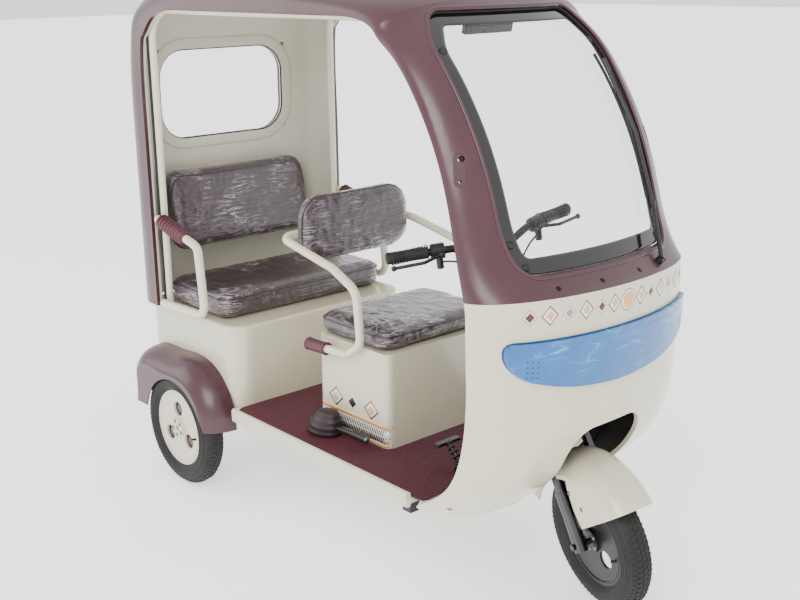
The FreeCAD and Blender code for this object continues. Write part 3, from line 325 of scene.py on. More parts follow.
# ==== Windscreen =================================================================================
# Bent laminated glass behind the frame, with a fired black band at its edge, a rounded lip of the
# frame round it and plastic caps over its fixings. It is clear with a faint green-grey edge.
glass = bpy.data.materials.new("laminated_glass")
glass.use_nodes = True
glass_tree = glass.node_tree
glass_clear = glass_tree.nodes["Principled BSDF"]
glass_place = add(glass_tree, "ShaderNodeTexCoord").outputs["Object"]
glass_smear = add(glass_tree, "ShaderNodeTexNoise", {"Vector": glass_place, "Scale": 9.0, "Detail": 3.0})
glass_gloss = add(glass_tree, "ShaderNodeMapRange", {"Value": glass_smear.outputs["Fac"], "From Min": 0.4, "From Max": 0.8,
                                                     "To Min": 0.0, "To Max": 0.05})
glass_tree.links.new(glass_gloss.outputs["Result"], glass_clear.inputs["Roughness"])
glass_clear.inputs["Base Color"].default_value = linear("F4FAF8")
glass_clear.inputs["IOR"].default_value = 1.3
glass_clear.inputs["Transmission Weight"].default_value = 1.0
dress(glass, "windscreen_glass")

belt_z, door_top_z = 0.920, 1.590


def share_z(share):
    return belt_z + (door_top_z - belt_z) * share


glass_halves = [(share_z(0.085), 0.286), (share_z(0.23), 0.306), (share_z(0.55), 0.308), (share_z(0.90), 0.312), (share_z(1.02), 0.258)]
glass_bends = [0.060, 0.380, 2.400, 0.110, 0.060]


def rounded(corners, bends, steps=10):
    """A closed outline with each of its corners rounded by its own radius."""
    outline = []
    for index, corner in enumerate(corners):
        here = Vector(corner)
        back = (Vector(corners[index - 1]) - here).normalized()
        ahead = (Vector(corners[(index + 1) % len(corners)]) - here).normalized()
        half = math.acos(back.dot(ahead)) / 2
        centre = here + (back + ahead).normalized() * (bends[index] / math.sin(half))
        first = here + back * (bends[index] / math.tan(half)) - centre
        last = here + ahead * (bends[index] / math.tan(half)) - centre
        for step in range(steps + 1):
            spoke = first.lerp(last, step / steps).normalized()
            outline.append(centre + spoke * bends[index])
    return outline


def evened(outline, gap):
    """The same closed outline with points about one gap apart."""
    lengths = [0.0]
    ring = outline + [outline[0]]
    for first, second in zip(ring, ring[1:]):
        lengths.append(lengths[-1] + (second - first).length)
    count = max(8, int(lengths[-1] / gap))
    points, index = [], 0
    for number in range(count):
        target = lengths[-1] * number / count
        while lengths[index + 1] < target:
            index += 1
        part = (target - lengths[index]) / max(lengths[index + 1] - lengths[index], 1e-9)
        points.append(ring[index].lerp(ring[index + 1], part))
    return points


def offset(outline, grow):
    """The outline moved outwards by this much; it runs anticlockwise."""
    moved = []
    for index, point in enumerate(outline):
        along = (outline[(index + 1) % len(outline)] - outline[index - 1]).normalized()
        moved.append(point + Vector((along.y, -along.x)) * grow)
    return moved


glass_corners = [(half, z) for z, half in glass_halves] + [(-half, z) for z, half in reversed(glass_halves)]
glass_edge = evened(rounded(glass_corners, glass_bends + glass_bends[::-1]), 0.012)


def laid_on(tree, outline, lift):
    """The outline, seen from the front, laid on a skin; misses take the nearest point of the skin."""
    laid = []
    for point in outline:
        hit = landed(tree, (2.0, point.x, point.y), (-1, 0, 0), lift)
        if hit is None:
            spot, out, _, _ = tree.find_nearest(Vector((laid[-1][0].x if laid else 0.6, point.x, point.y)))
            hit = (spot + out * lift, out)
        laid.append(hit)
    return laid


glass_skin = skin("windscreen_glass")
fired_band = finish("fired_black_band", "0A0A0B", "101011", 0.12, Coat_Weight=0.5)
band_form = bmesh.new()
band_rows = []
for inset in (-0.001, -0.008, -0.016, -0.024, -0.032, -0.038):
    band_rows.append(laid_on(glass_skin, offset(glass_edge, inset), 0.0006))
slab(band_form, band_rows, 0.0004, loop=True)
fitted("glass_black_band", meshed("glass_black_band", band_form), fired_band)
lip_path = [point + out * -0.0012 for point, out in laid_on(frame_skin, offset(glass_edge, 0.006), 0.0)]
beads("windscreen_lip", [lip_path], 0.0052, maroon_plastic, closed=True)
gasket_path = [point + out * -0.0105 for point, out in laid_on(frame_skin, offset(glass_edge, 0.0025), 0.0)]
beads("windscreen_gasket", [gasket_path], 0.0034, black_rubber, closed=True)
cap_spots = []
for y, z in ((-0.283, 1.508), (0.283, 1.508), (-0.284, 1.05), (0.284, 1.05), (0.262, 0.995), (-0.262, 0.995)):
    hit = landed(glass_skin, (2.0, y, z), (-1, 0, 0), 0.001)
    if hit:
        cap_spots.append((hit[0], hit[1], (0, 0, 1)))
screws("glass_fixing_caps", cap_spots, 0.0085, 0.0045, moulded_black)
frame_spots = []
for y in (-0.215, -0.075, 0.075, 0.215):
    hit = landed(frame_skin, (2.0, y, 0.947), (-1, 0, 0))
    if hit:
        frame_spots.append((hit[0], hit[1], (0, 0, 1)))
dark_screw = finish("blackened_steel_screw", "1A1515", "241D1D", 0.35, Metallic=0.7)
screws("windscreen_frame_screws", frame_spots, 0.0052, 0.0026, dark_screw)
mirror_spots = []
for side in (-1, 1):
    for z in (1.208, 1.262):
        hit = landed(frame_skin, (axle_x + 1.541, side * 0.715, z), (-0.25, side * -0.35, 0), 0.0)
        if hit:
            mirror_spots.append((hit[0], hit[1], (0, 0, 1)))
screws("mirror_recess_screws", mirror_spots, 0.0056, 0.003, dark_screw)

# Wiper: pressed steel arm with a clipped-on blade of black rubber over the glass.


def on_glass(y, z, lift):
    hit = landed(glass_skin, (2.0, y, z), (-1, 0, 0), lift) or landed(frame_skin, (2.0, y, z), (-1, 0, 0), lift)
    return hit[0]


blade_path = [on_glass(0.262 - 0.02 * step / 14, share_z(0.26 + 0.56 * step / 14), 0.0065) for step in range(15)]
beads("wiper_blade", [blade_path], 0.0042, black_rubber)

# ==== Roof and rear wall =========================================================================
# The roof skin laps over the windscreen frame with a soft crease, and the inside of the rear wall
# has a raised rounded panel round its window, screwed at the corners, with a rubber edge.
window_half, window_low, window_top = 0.257, 1.134, 1.441
window_corners = [(window_half, window_low), (window_half, window_top), (-window_half, window_top), (-window_half, window_low)]
window_edge = evened(rounded(window_corners, [0.095] * 4), 0.012)
liner_skin = skin("rear_liner")


def laid_inside(outline, lift):
    """The outline, seen from inside the cab, laid on the rear wall's liner."""
    laid = []
    for point in outline:
        hit = landed(liner_skin, (axle_x + 0.2, point.x, point.y), (-1, 0, 0), lift)
        if hit:
            laid.append(hit)
    return laid


panel_form = bmesh.new()
panel_profile = [(0.001, 0.0035), (0.004, 0.0050), (0.012, 0.0058), (0.030, 0.0056), (0.036, 0.0045), (0.040, 0.0015), (0.041, -0.001)]
panel_rows = []
for grow, lift in panel_profile:
    panel_rows.append(laid_inside(offset(window_edge, grow), lift))
if len({len(row) for row in panel_rows}) == 1:
    slab(panel_form, panel_rows, 0.0012, loop=True)
fitted("window_panel", meshed("window_panel", panel_form), cream_liner)
window_bead = [point for point, _ in laid_inside(offset(window_edge, 0.0015), 0.001)]
beads("window_edge_bead", [window_bead], 0.0035, black_rubber, closed=True)
window_screws = []
for y, z in ((-0.257, 1.146), (0.257, 1.146), (-0.257, 1.441), (0.257, 1.441)):
    hit = landed(liner_skin, (axle_x + 0.2, y * 1.02, z), (-1, 0, 0))
    if hit:
        window_screws.append((hit[0], hit[1], (0, 0, 1)))
screws("window_screws", window_screws, 0.0058, 0.003, bolt_zinc)

# ==== Front fairing ==============================================================================
# Cream moulding with a row of printed diamonds above the lamp bar. The prints are thin stickers:
# small maroon and grey lozenges between larger outlined ones round a plain disc.
print_brown = finish("printed_brown_line", "3A2420", "47302A", 0.3)
print_pale = finish("printed_pale_field", "EDE7DB", "F2ECE1", 0.3)
print_orange = finish("printed_orange", "DDA063", "E6B07A", 0.3)
print_maroon = finish("printed_maroon", "521E22", "5E272B", 0.3)
print_grey = finish("printed_grey", "8D8786", "9B9594", 0.3)


def lozenge(form, tree, start, way, across, up, half_wide, half_high, lift):
    """A thin diamond print on a skin, from a start point that looks along way."""
    steps = 4
    grid = []
    for row in range(steps + 1):
        line = []
        for column in range(steps + 1):
            first, second = row / steps * 2 - 1, column / steps * 2 - 1
            spot = Vector(start) + Vector(across) * (half_wide * (first + second) / 2) + Vector(up) * (half_high * (first - second) / 2)
            line.append(landed(tree, spot, way, lift))
        grid.append(line)
    if all(hit for line in grid for hit in line):
        slab(form, grid, lift + 0.0003)


print_height = 0.888
row_sizes = {"big": (0.0225, 0.026), "small": (0.0115, 0.0125), "pale": (0.0175, 0.021)}
row_layout = [(0.305, "small", "maroon"), (0.255, "big", None), (0.202, "small", "grey"), (0.150, "big", None), (0.100, "small", "maroon"), (0.054, "big", None)]
row_forms = {key: bmesh.new() for key in ("line", "field", "orange", "maroon", "grey")}
for place_y, size, colour in row_layout:
    for side in (-1, 1):
        start = (front_x + 0.3, side * place_y, print_height)
        wide, high = row_sizes[size]
        if size == "big":
            for key, scale, lift in (("line", 1.0, 0.0004), ("field", 0.86, 0.0006), ("orange", 0.5, 0.0008)):
                lozenge(row_forms[key], fairing_skin, start, (-1, 0, 0), (0, 1, 0), (0, 0, 1), wide * scale, high * scale, lift)
        else:
            for key, scale, lift in (("line", 1.6, 0.0003), ("field", 1.48, 0.0005), (colour, 1.0, 0.0007)):
                lozenge(row_forms[key], fairing_skin, start, (-1, 0, 0), (0, 1, 0), (0, 0, 1), wide * scale, high * scale, lift)


def disc_print(form, radius, lift):
    """A round print in the middle of the row."""
    grid = []
    for ring in range(1, 6):
        row = []
        for number in range(28):
            angle = math.tau * number / 28
            reach = radius * (0.02 + 0.98 * (ring - 1) / 4)
            row.append(landed(fairing_skin, (front_x + 0.3, reach * math.cos(angle), print_height + reach * math.sin(angle)), (-1, 0, 0), lift))
        grid.append(row)
    slab(form, grid, lift + 0.0003, loop=True)


disc_print(row_forms["line"], 0.0285, 0.0004)
disc_print(row_forms["field"], 0.0268, 0.0006)
disc_print(row_forms["orange"], 0.021, 0.0008)
for key, material in (("line", print_brown), ("field", print_pale), ("orange", print_orange), ("maroon", print_maroon), ("grey", print_grey)):
    fitted("fairing_print_" + key, meshed("fairing_print_" + key, row_forms[key]), material)
fairing_screws = []
for side in (-1, 1):
    hit = landed(fairing_skin, (axle_x + 1.265, side * 0.9, 0.328), (0, -side, 0))
    if hit:
        fairing_screws.append((hit[0], hit[1], (0, 0, 1)))
screws("fairing_side_screws", fairing_screws, 0.0055, 0.003, bolt_zinc)

# Lamp bar: a moulded lens still under its blue shipping film, which is glossy and creased, with pale
# blue painted highlights along its creases. A block of small lamp cells shows through at each end.
film = bpy.data.materials.new("blue_shipping_film")
film.use_nodes = True
film_tree = film.node_tree
film_top = film_tree.nodes["Principled BSDF"]
film_place = add(film_tree, "ShaderNodeTexCoord").outputs["Object"]
film_squeeze = add(film_tree, "ShaderNodeMapping", {"Vector": film_place, "Rotation": (0.35, 0, 0), "Scale": (6.0, 6.0, 26.0)})
film_crease = add(film_tree, "ShaderNodeTexNoise", {"Vector": film_squeeze.outputs[0], "Scale": 1.0, "Detail": 5.0, "Distortion": 1.2})
film_ridge = add(film_tree, "ShaderNodeMath", {0: film_crease.outputs["Fac"], 1: 0.5}, operation="SUBTRACT")
film_ridge = add(film_tree, "ShaderNodeMath", {0: film_ridge.outputs[0]}, operation="ABSOLUTE")
# Thin lines along the creases, in patches, are mixed to pale blue: painted highlights on the film.
film_highlight_line = add(film_tree, "ShaderNodeMapRange", {"Value": film_ridge.outputs[0], "From Min": 0.0, "From Max": 0.02, "To Min": 1.0, "To Max": 0.0})
film_patch = add(film_tree, "ShaderNodeTexNoise", {"Vector": film_place, "Scale": 7.0, "Detail": 2.0})
film_highlight_patches = add(film_tree, "ShaderNodeMapRange", {"Value": film_patch.outputs["Fac"], "From Min": 0.45, "From Max": 0.62})
film_highlight_mask = add(film_tree, "ShaderNodeMath", {0: film_highlight_line.outputs[0], 1: film_highlight_patches.outputs[0]}, operation="MULTIPLY")
film_tone = add(film_tree, "ShaderNodeMix", {0: film_patch.outputs["Fac"], 6: linear("034A8A"), 7: linear("0873BC")}, data_type="RGBA")
film_painted_highlights = add(film_tree, "ShaderNodeMix", {0: film_highlight_mask.outputs[0], 6: film_tone.outputs[2], 7: linear("5CC4EA")}, data_type="RGBA")
film_bump = add(film_tree, "ShaderNodeBump", {"Height": film_crease.outputs["Fac"], "Strength": 0.6, "Distance": 0.004})
film_tree.links.new(film_painted_highlights.outputs[2], film_top.inputs["Base Color"])
film_tree.links.new(film_bump.outputs["Normal"], film_top.inputs["Coat Normal"])
film_tree.links.new(film_bump.outputs["Normal"], film_top.inputs["Normal"])
film_top.inputs["Roughness"].default_value = 0.22
film_top.inputs["Coat Weight"].default_value = 0.35
film_top.inputs["Coat Roughness"].default_value = 0.04
dress(film, "headlamp_bar")
lamp_skin = skin("headlamp_bar")
lamp_low, lamp_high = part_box("headlamp_bar")
cell_pitch = 0.0135
dark_cells, faint_cells = [], []
for side in (-1, 1):
    for column in range(18):
        for row in range(4):
            y = side * (lamp_high.y - 0.045 - column * cell_pitch)
            z = lamp_high.z - 0.047 - row * cell_pitch - 0.0015 * column
            hit = landed(lamp_skin, (front_x + 0.3, y, z), (-1, 0, 0), -0.0004)
            if hit:
                (dark_cells if column < 3 else faint_cells).append((hit[0], hit[1], (0, 0, 1)))
screws("lamp_cells_dark", dark_cells, 0.0036, 0.0012, finish("lamp_cell_dark", "0F4A70", "145780", 0.3))
screws("lamp_cells_faint", faint_cells, 0.0026, 0.0009, finish("lamp_cell_faint", "1A6D9E", "217BAE", 0.3))
lamp_outline_right = [(lamp_high.y * 0.55, lamp_low.z + 0.016), (lamp_high.y * 0.9, lamp_low.z + 0.054), (lamp_high.y, lamp_low.z + 0.101), (lamp_high.y, lamp_high.z)]
lamp_corners = [(-y, z) for y, z in reversed(lamp_outline_right)] + [(0, lamp_low.z)] + lamp_outline_right
lamp_edge = evened(rounded(lamp_corners, [0.02, 0.06, 0.105, 0.7, 0.9, 0.7, 0.105, 0.06, 0.02]), 0.012)
# A thin dark blue bead round the lamp's rim, darker than the film: painted shadow along the rim's gap.
lamp_rim = [hit[0] for hit in (landed(fairing_skin, (front_x + 0.3, point.x, point.y), (-1, 0, 0)) for point in offset(lamp_edge, 0.001)) if hit]
if len(lamp_rim) > 20:
    beads("lamp_rim_painted_shadow_bead", [lamp_rim], 0.0022, finish("dark_blue_painted_rim_shadow", "0D3D5C", "124A6B", 0.4), closed=True)
dress(finish("moulded_red_lens", "6E0906", "860F0A", 0.2, Coat_Weight=0.4), "tail_lamps")

# ==== Floor and its mat ==========================================================================
# Painted floor tray with a rounded cream sill down each side, and a maroon rubber mat with fine
# lateral ribs that run under both seat boxes. The mat under the ribs is darker than the ribs: painted
# shade in the valleys between them.
dress(finish("painted_cream_sill", "CFC9B4", "D6D1BC", 0.3), "floor_tub")
mat_rubber = finish("ribbed_maroon_rubber", "571F2C", "642838", 0.5, grain=0.0012)
# Darker than the ribs: painted shade in the valleys between them.
dress(finish("maroon_rubber_valley_painted_shade", "2A0D15", "35121C", 0.65, grain=0.0012), "floor_mat")
mat_skin = skin("floor_mat")
mat_low, mat_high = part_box("floor_mat")
rib_pitch, rib_radius = 0.0125, 0.0036
rib_paths = []
rib_x = mat_low.x + 0.008
while rib_x < mat_high.x - 0.006:
    run = []
    y = mat_low.y + 0.004
    while y < mat_high.y - 0.003:
        hit = landed(mat_skin, (rib_x, y, mat_high.z + 0.05), (0, 0, -1))
        if hit and hit[0].z > mat_high.z - 0.002:
            run.append(hit[0] + Vector((0, 0, -0.0016)))
        else:
            if len(run) > 2:
                rib_paths.append([run[0], run[-1]])
            run = []
        y += 0.004
    if len(run) > 2:
        rib_paths.append([run[0], run[-1]])
    rib_x += rib_pitch
beads("mat_ribs", rib_paths, rib_radius, mat_rubber)

# ==== Tubes and grips ============================================================================
# Bent round tube in glossy cream enamel. The rear armrests have ribbed maroon rubber grips, and
# plastic sleeves cover the lower ends of the driver's tubes.
cream_enamel = finish("cream_enamel", "D6D1B6", "DEDAC3", 0.24, depth=0.00006, Coat_Weight=0.6, Coat_Roughness=0.06)
dress(cream_enamel, "door_frame_tubes", "rear_armrest_tubes", "driver_seat_frame")
grip_rubber = finish("moulded_maroon_grip", "4A1C27", "5A2833", 0.5, grain=0.0012)
dress(grip_rubber, "armrest_grips")
grip_low, grip_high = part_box("armrest_grips")


def hoops(centre, axis, radius, count=24):
    """A ring of points round an axis."""
    axis = Vector(axis).normalized()
    first = axis.orthogonal().normalized()
    second = axis.cross(first)
    return [centre + (first * math.cos(math.tau * n / count) + second * math.sin(math.tau * n / count)) * radius for n in range(count)]


grip_rings = []
for side in (-1, 1):
    start = Vector((grip_low.x + 0.008, side * (grip_high.y - 0.022), grip_high.z - 0.0185))
    stop = Vector((grip_high.x - 0.008, side * (grip_high.y - 0.022), grip_low.z + 0.0185))
    for number in range(9):
        grip_rings.append(hoops(start.lerp(stop, 0.05 + 0.9 * number / 8), stop - start, 0.0215))
beads("armrest_grip_ribs", grip_rings, 0.0042, grip_rubber, closed=True)

sleeves = [[Vector((axle_x + 0.512 + 0.088 * step / 8, side * 0.262, 0.5836 + 0.0039 * step / 8)) for step in range(9)] for side in (-1, 1)]
beads("armrest_sleeves", sleeves, 0.0195, grip_rubber)
sleeve_rims = [hoops(path[end], Vector((1, 0, 0.044)), 0.0185) for path in sleeves for end in (0, -1)]
beads("armrest_sleeve_rims", sleeve_rims, 0.0025, grip_rubber, closed=True)
trim_edges = [(-0.345, 0.280, 0.372), (-0.285, 0.330, 0.398), (-0.200, 0.398, 0.405), (-0.146, 0.505, 0.408), (-0.128, 0.610, 0.408), (-0.125, 0.710, 0.408), (-0.128, 0.810, 0.408), (-0.133, 0.905, 0.408)]
trim_paths = []
for side in (-1, 1):
    spots = [Vector((axle_x + 1.48 + x, side * (y - 0.012), z)) for x, z, y in trim_edges]
    path = []
    for index in range(len(spots) - 1):
        before, here, after, beyond = spots[max(index - 1, 0)], spots[index], spots[index + 1], spots[min(index + 2, len(spots) - 1)]
        for step in range(8):
            t = step / 8
            path.append(0.5 * (2 * here + (after - before) * t + (2 * before - 5 * here + 4 * after - beyond) * t * t + (3 * here - before - 3 * after + beyond) * t ** 3))
    path.append(spots[-1])
    trim_paths.append(path)
beads("door_edge_trim", trim_paths, 0.0046, maroon_plastic)

# ==== Wheels =====================================================================================
# Small scooter tyres on pressed wheels: cream with three windows behind, black in front. The tread
# is rows of blocks, and the sidewalls carry fine moulded rings.
tyre_rubber = finish("tyre_rubber", "101010", "1A1919", 0.72, grain=0.0015, depth=0.0004)
dress(tyre_rubber, "front_tyre", "rear_tyre_left", "rear_tyre_right")
wheel_cream = finish("powder_coated_cream", "CBC5AE", "D5D0BA", 0.32)
dress(wheel_cream, "rear_wheel_left", "rear_wheel_right")
dress(black_enamel, "front_wheel")


def block_tree():
    """A tread block, its corners left square, at each place."""
    tree, entry = new_tree("tread_blocks", ["Length", "Width", "Height"])
    turn = add(tree, "GeometryNodeInputNamedAttribute", {"Name": "turn"}, data_type="FLOAT_VECTOR")
    spin = add(tree, "FunctionNodeEulerToRotation", {0: turn.outputs[0]})
    size = add(tree, "ShaderNodeCombineXYZ", {0: entry.outputs["Length"], 1: entry.outputs["Width"], 2: entry.outputs["Height"]})
    cube = add(tree, "GeometryNodeMeshCube", {"Size": size.outputs[0], "Vertices X": 2, "Vertices Y": 3, "Vertices Z": 2})
    repeat = add(tree, "GeometryNodeInstanceOnPoints", {"Points": entry.outputs["Geometry"], "Instance": cube.outputs["Mesh"],
                                                        "Rotation": spin.outputs[0]})
    return closed_tree(tree, entry, repeat.outputs[0])


tread_blocks = block_tree()
joints = {joint["name"]: joint for joint in frame["record"]["behaviour"]["joints"]}
wheel_table = [("front", "front_tyre", "front_wheel_assembly", "front_wheel_spin", "front_wheel"),
               ("rear_left", "rear_tyre_left", "left_rear_wheel_assembly", "left_rear_wheel_spin", "rear_wheel_left"),
               ("rear_right", "rear_tyre_right", "right_rear_wheel_assembly", "right_rear_wheel_spin", "rear_wheel_right")]
for name, tyre, body, joint, wheel in wheel_table:
    centre, axis = Vector(joints[joint]["pos_m"]), Vector(joints[joint]["axis"]).normalized()
    first = axis.orthogonal().normalized()
    second = axis.cross(first)
    tyre_skin = skin(tyre)
    blocks = []
    for row, (across, shift) in enumerate(((0.0, 0.0), (-0.0135, 0.5), (0.0135, 0.5), (-0.027, 0.0), (0.027, 0.0))):
        for number in range(72):
            angle = math.tau * (number + shift) / 72
            spoke = first * math.cos(angle) + second * math.sin(angle)
            hit = landed(tyre_skin, centre + axis * across + spoke * 0.3, -spoke, -0.0006)
            if hit:
                along = axis.cross(spoke) + axis * (0.35 if row % 2 else -0.35)
                blocks.append((hit[0], hit[1], along))
    grown(name + "_tread", places(name, blocks), tread_blocks, {"Length": 0.0115, "Width": 0.0095, "Height": 0.004}, tyre_rubber, body, False)
    wall_rings = []
    for side in (-1, 1):
        for reach in (0.150, 0.158, 0.168, 0.176):
            ring = []
            for number in range(72):
                angle = math.tau * number / 72
                spoke = first * math.cos(angle) + second * math.sin(angle)
                hit = landed(tyre_skin, centre + spoke * reach + axis * side * 0.2, -axis * side)
                if hit:
                    ring.append(hit[0])
            if len(ring) == 72:
                wall_rings.append(ring)
    beads(name + "_sidewall_rings", wall_rings, 0.0011, tyre_rubber, body, closed=True)
    outward = -1 if name != "rear_left" else 1
    wheel_skin = skin(wheel)
    nuts = []
    for number in range(5):
        angle = math.tau * number / 5
        spoke = first * math.cos(angle) + second * math.sin(angle)
        hit = landed(wheel_skin, centre + spoke * 0.025 + axis * outward * 0.2, -axis * outward)
        if hit:
            nuts.append((hit[0], hit[1], spoke))
    screws(name + "_wheel_nuts", nuts, 0.0052, 0.004, bolt_zinc, body)
    if name != "front":
        hollow_spots = []
        for number in range(3):
            angle = math.radians(90 + 120 * number)
            hollow_spots.append((centre + Vector((math.cos(angle) * 0.068, outward * 0.0145, math.sin(angle) * 0.068)), axis * outward, (0, 0, 1)))
        screws(name + "_wheel_window_insets", hollow_spots, 0.0240, 0.006, maroon_plastic, body)
    rim_ring = [centre + axis * outward * 0.026 + spoke * 0.122 for spoke in
                [first * math.cos(math.tau * n / 60) + second * math.sin(math.tau * n / 60) for n in range(60)]]
    beads(name + "_rim_bead", [rim_ring], 0.0035, black_enamel if name == "front" else wheel_cream, body, closed=True)
    stem_angle = first * math.cos(0.9) + second * math.sin(0.9)
    stem = [centre + stem_angle * 0.112 + axis * outward * (0.014 + 0.004 * step) + stem_angle * (-0.002 * step) for step in range(7)]
    beads(name + "_valve", [stem], 0.0038, black_rubber, body)

# ==== Front fork and mudguard ====================================================================
# Telescopic fork with chromed upper tubes and black sliders, the mudguard bolted between them.
dress(finish("chromed_fork_tube", "4A4A4C", "5A5A5C", 0.22, Metallic=1.0), "front_fork")
steering = joints["steering_turn"]
head, steer_axis = Vector(steering["pos_m"]), Vector(steering["axis"])
swing = Matrix.Translation(head) @ Matrix.Rotation(math.radians(-17), 4, steer_axis) @ Matrix.Translation(-head)
guard_skin = skin("front_mudguard")
front_centre = Vector(joints["front_wheel_spin"]["pos_m"])
front_axis = Vector(joints["front_wheel_spin"]["axis"]).normalized()
guard_bolts = []
for side in (-1, 1):
    for ahead, up in ((0.035, 0.13), (-0.02, 0.155)):
        start = swing @ Vector((front_centre.x + ahead, side * 0.3, front_centre.z + up))
        hit = landed(guard_skin, start, front_axis * -side)
        if hit:
            guard_bolts.append((hit[0], hit[1], (0, 0, 1)))
if guard_bolts:
    screws("mudguard_bolts", guard_bolts, 0.005, 0.0032, bolt_zinc, "steering")

# ==== Handlebar ==================================================================================
# Black steel bar with moulded rubber grips, ribbed round their length.
grip_black = finish("moulded_black_grip", "0C0C0C", "171717", 0.58, grain=0.0012)
dress(grip_black, "handlebar_grips")
bar_rings = []
grip_data = nodes["handlebar_grips"].data
for side in (-1, 1):
    own = [vertex.co for vertex in grip_data.vertices if (swing.inverted() @ vertex.co).y * side > 0]
    middle = sum(own, Vector()) / len(own)
    far = max(own, key=lambda point: (point - middle).length)
    spread = [(swing.inverted() @ point) for point in own]
    ends = (min(spread, key=lambda point: point.y * side), max(spread, key=lambda point: point.y * side))
    low_end = sum((p for p in spread if abs(p.y - ends[0].y) < 0.004), Vector()) / len([p for p in spread if abs(p.y - ends[0].y) < 0.004])
    high_end = sum((p for p in spread if abs(p.y - ends[1].y) < 0.004), Vector()) / len([p for p in spread if abs(p.y - ends[1].y) < 0.004])
    start, stop = swing @ low_end, swing @ high_end
    for number in range(12):
        bar_rings.append(hoops(start.lerp(stop, 0.12 + 0.76 * number / 11), stop - start, 0.0168, 20))
    bar_rings.append(hoops(start.lerp(stop, 0.02), stop - start, 0.0185, 20))
perches, cables, reservoirs = [], [], []
column_top = head + steer_axis * 0.852
bar_centre = column_top + Vector((0, 0, 0.014))
for side in (-1, 1):
    outer = Vector((bar_centre.x - 0.062, side * 0.3, bar_centre.z + 0.022))
    inner = Vector((bar_centre.x - 0.008, side * 0.12, bar_centre.z + 0.018))
    along = (inner - outer).normalized()
    foot = outer + along * 0.142
    perches.append([swing @ (foot + Vector((0.010, 0, -0.004 - 0.0055 * step))) for step in range(9)])
    reservoirs.append([swing @ (foot - along * 0.016), swing @ (foot + along * 0.020)])
    cable = []
    start, stop = foot + Vector((0.012, 0, -0.030)), Vector((bar_centre.x + 0.045, side * 0.035, bar_centre.z - 0.10))
    pull = start + along * 0.07 + Vector((0.03, 0, 0.012))
    for step in range(17):
        t = step / 16
        cable.append(swing @ (start * (1 - t) ** 2 + pull * 2 * t * (1 - t) + stop * t * t))
    cables.append(cable)
beads("brake_perches", perches, 0.0105, moulded_black, "steering")
beads("brake_perch_clamps", reservoirs, 0.0225, moulded_black, "steering")
beads("brake_cables", cables, 0.0028, black_rubber, "steering")
beads("handlebar_grip_ribs", bar_rings, 0.0018, grip_black, "steering", closed=True)

# ==== Driver's seat box ==========================================================================
# Cream moulding with a printed band low on its sides: outlined diamonds over an orange stripe, a
# hatched black band and a second stripe.
driver_low, driver_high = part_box("driver_seat_box")
driver_skin = skin("driver_seat_box")
box_sizes = {"big": (0.034, 0.031), "small": (0.019, 0.018)}
band_forms = {key: bmesh.new() for key in ("line", "field", "orange", "hatch")}


def side_hit(side, x, z, lift):
    return landed(driver_skin, (x, side * 0.6, z), (0, -side, 0), lift)


def strip(form, side, x_from, x_to, low, high, lift):
    """A thin printed strip along a side, which follows the box's rounded corners."""
    steps = max(1, int(abs(x_to - x_from) / 0.006))
    grid = []
    for row in range(2):
        line = [side_hit(side, x_from + (x_to - x_from) * step / steps, (low, high)[row], lift) for step in range(steps + 1)]
        grid.append(line)
    if all(hit for line in grid for hit in line):
        slab(form, grid, lift + 0.0003)


strip_from, strip_to = driver_low.x + 0.004, driver_high.x - 0.001
for side in (-1, 1):
    strip(band_forms["orange"], side, strip_from, strip_to, 0.380, 0.393, 0.0004)
    strip(band_forms["orange"], side, strip_from, strip_to, 0.323, 0.332, 0.0004)
    strip(band_forms["field"], side, strip_from, strip_to, 0.334, 0.378, 0.0003)
    count = 40
    for number in range(count):
        x = strip_from + 0.006 + (strip_to - strip_from - 0.018) * number / (count - 1)
        for low, high, lean in ((0.3575, 0.3775, 0.007), (0.3345, 0.3545, 0.007)):
            corners = [(x - 0.0023, low), (x + 0.0023, low), (x + 0.0023 + lean, high), (x - 0.0023 + lean, high)]
            hits = [side_hit(side, cx, cz, 0.0006) for cx, cz in corners]
            if all(hits):
                slab(band_forms["hatch"], [[hits[0], hits[1]], [hits[3], hits[2]]], 0.0006)
    for ahead, size in ((0.6026, "big"), (0.6826, "small"), (0.7715, "big")):
        start = (axle_x + ahead, side * 0.6, 0.4265)
        way = (0, -side, 0)
        wide, high = box_sizes[size]
        if size == "big":
            for key, scale, lift in (("hatch", 1.0, 0.0004), ("field", 0.84, 0.0006), ("orange", 0.5, 0.0008)):
                lozenge(band_forms[key], driver_skin, start, way, (1, 0, 0), (0, 0, 1), wide * scale, high * scale, lift)
        else:
            for key, scale, lift in (("field", 1.3, 0.0004), ("hatch", 1.0, 0.0006)):
                lozenge(band_forms[key], driver_skin, start, way, (1, 0, 0), (0, 0, 1), wide * scale, high * scale, lift)
for key, material in (("field", print_pale), ("orange", print_orange), ("hatch", finish("printed_near_black", "1E1714", "28201C", 0.35))):
    fitted("seat_box_print_" + key, meshed("seat_box_print_" + key, band_forms[key]), material)
band_forms["line"].free()

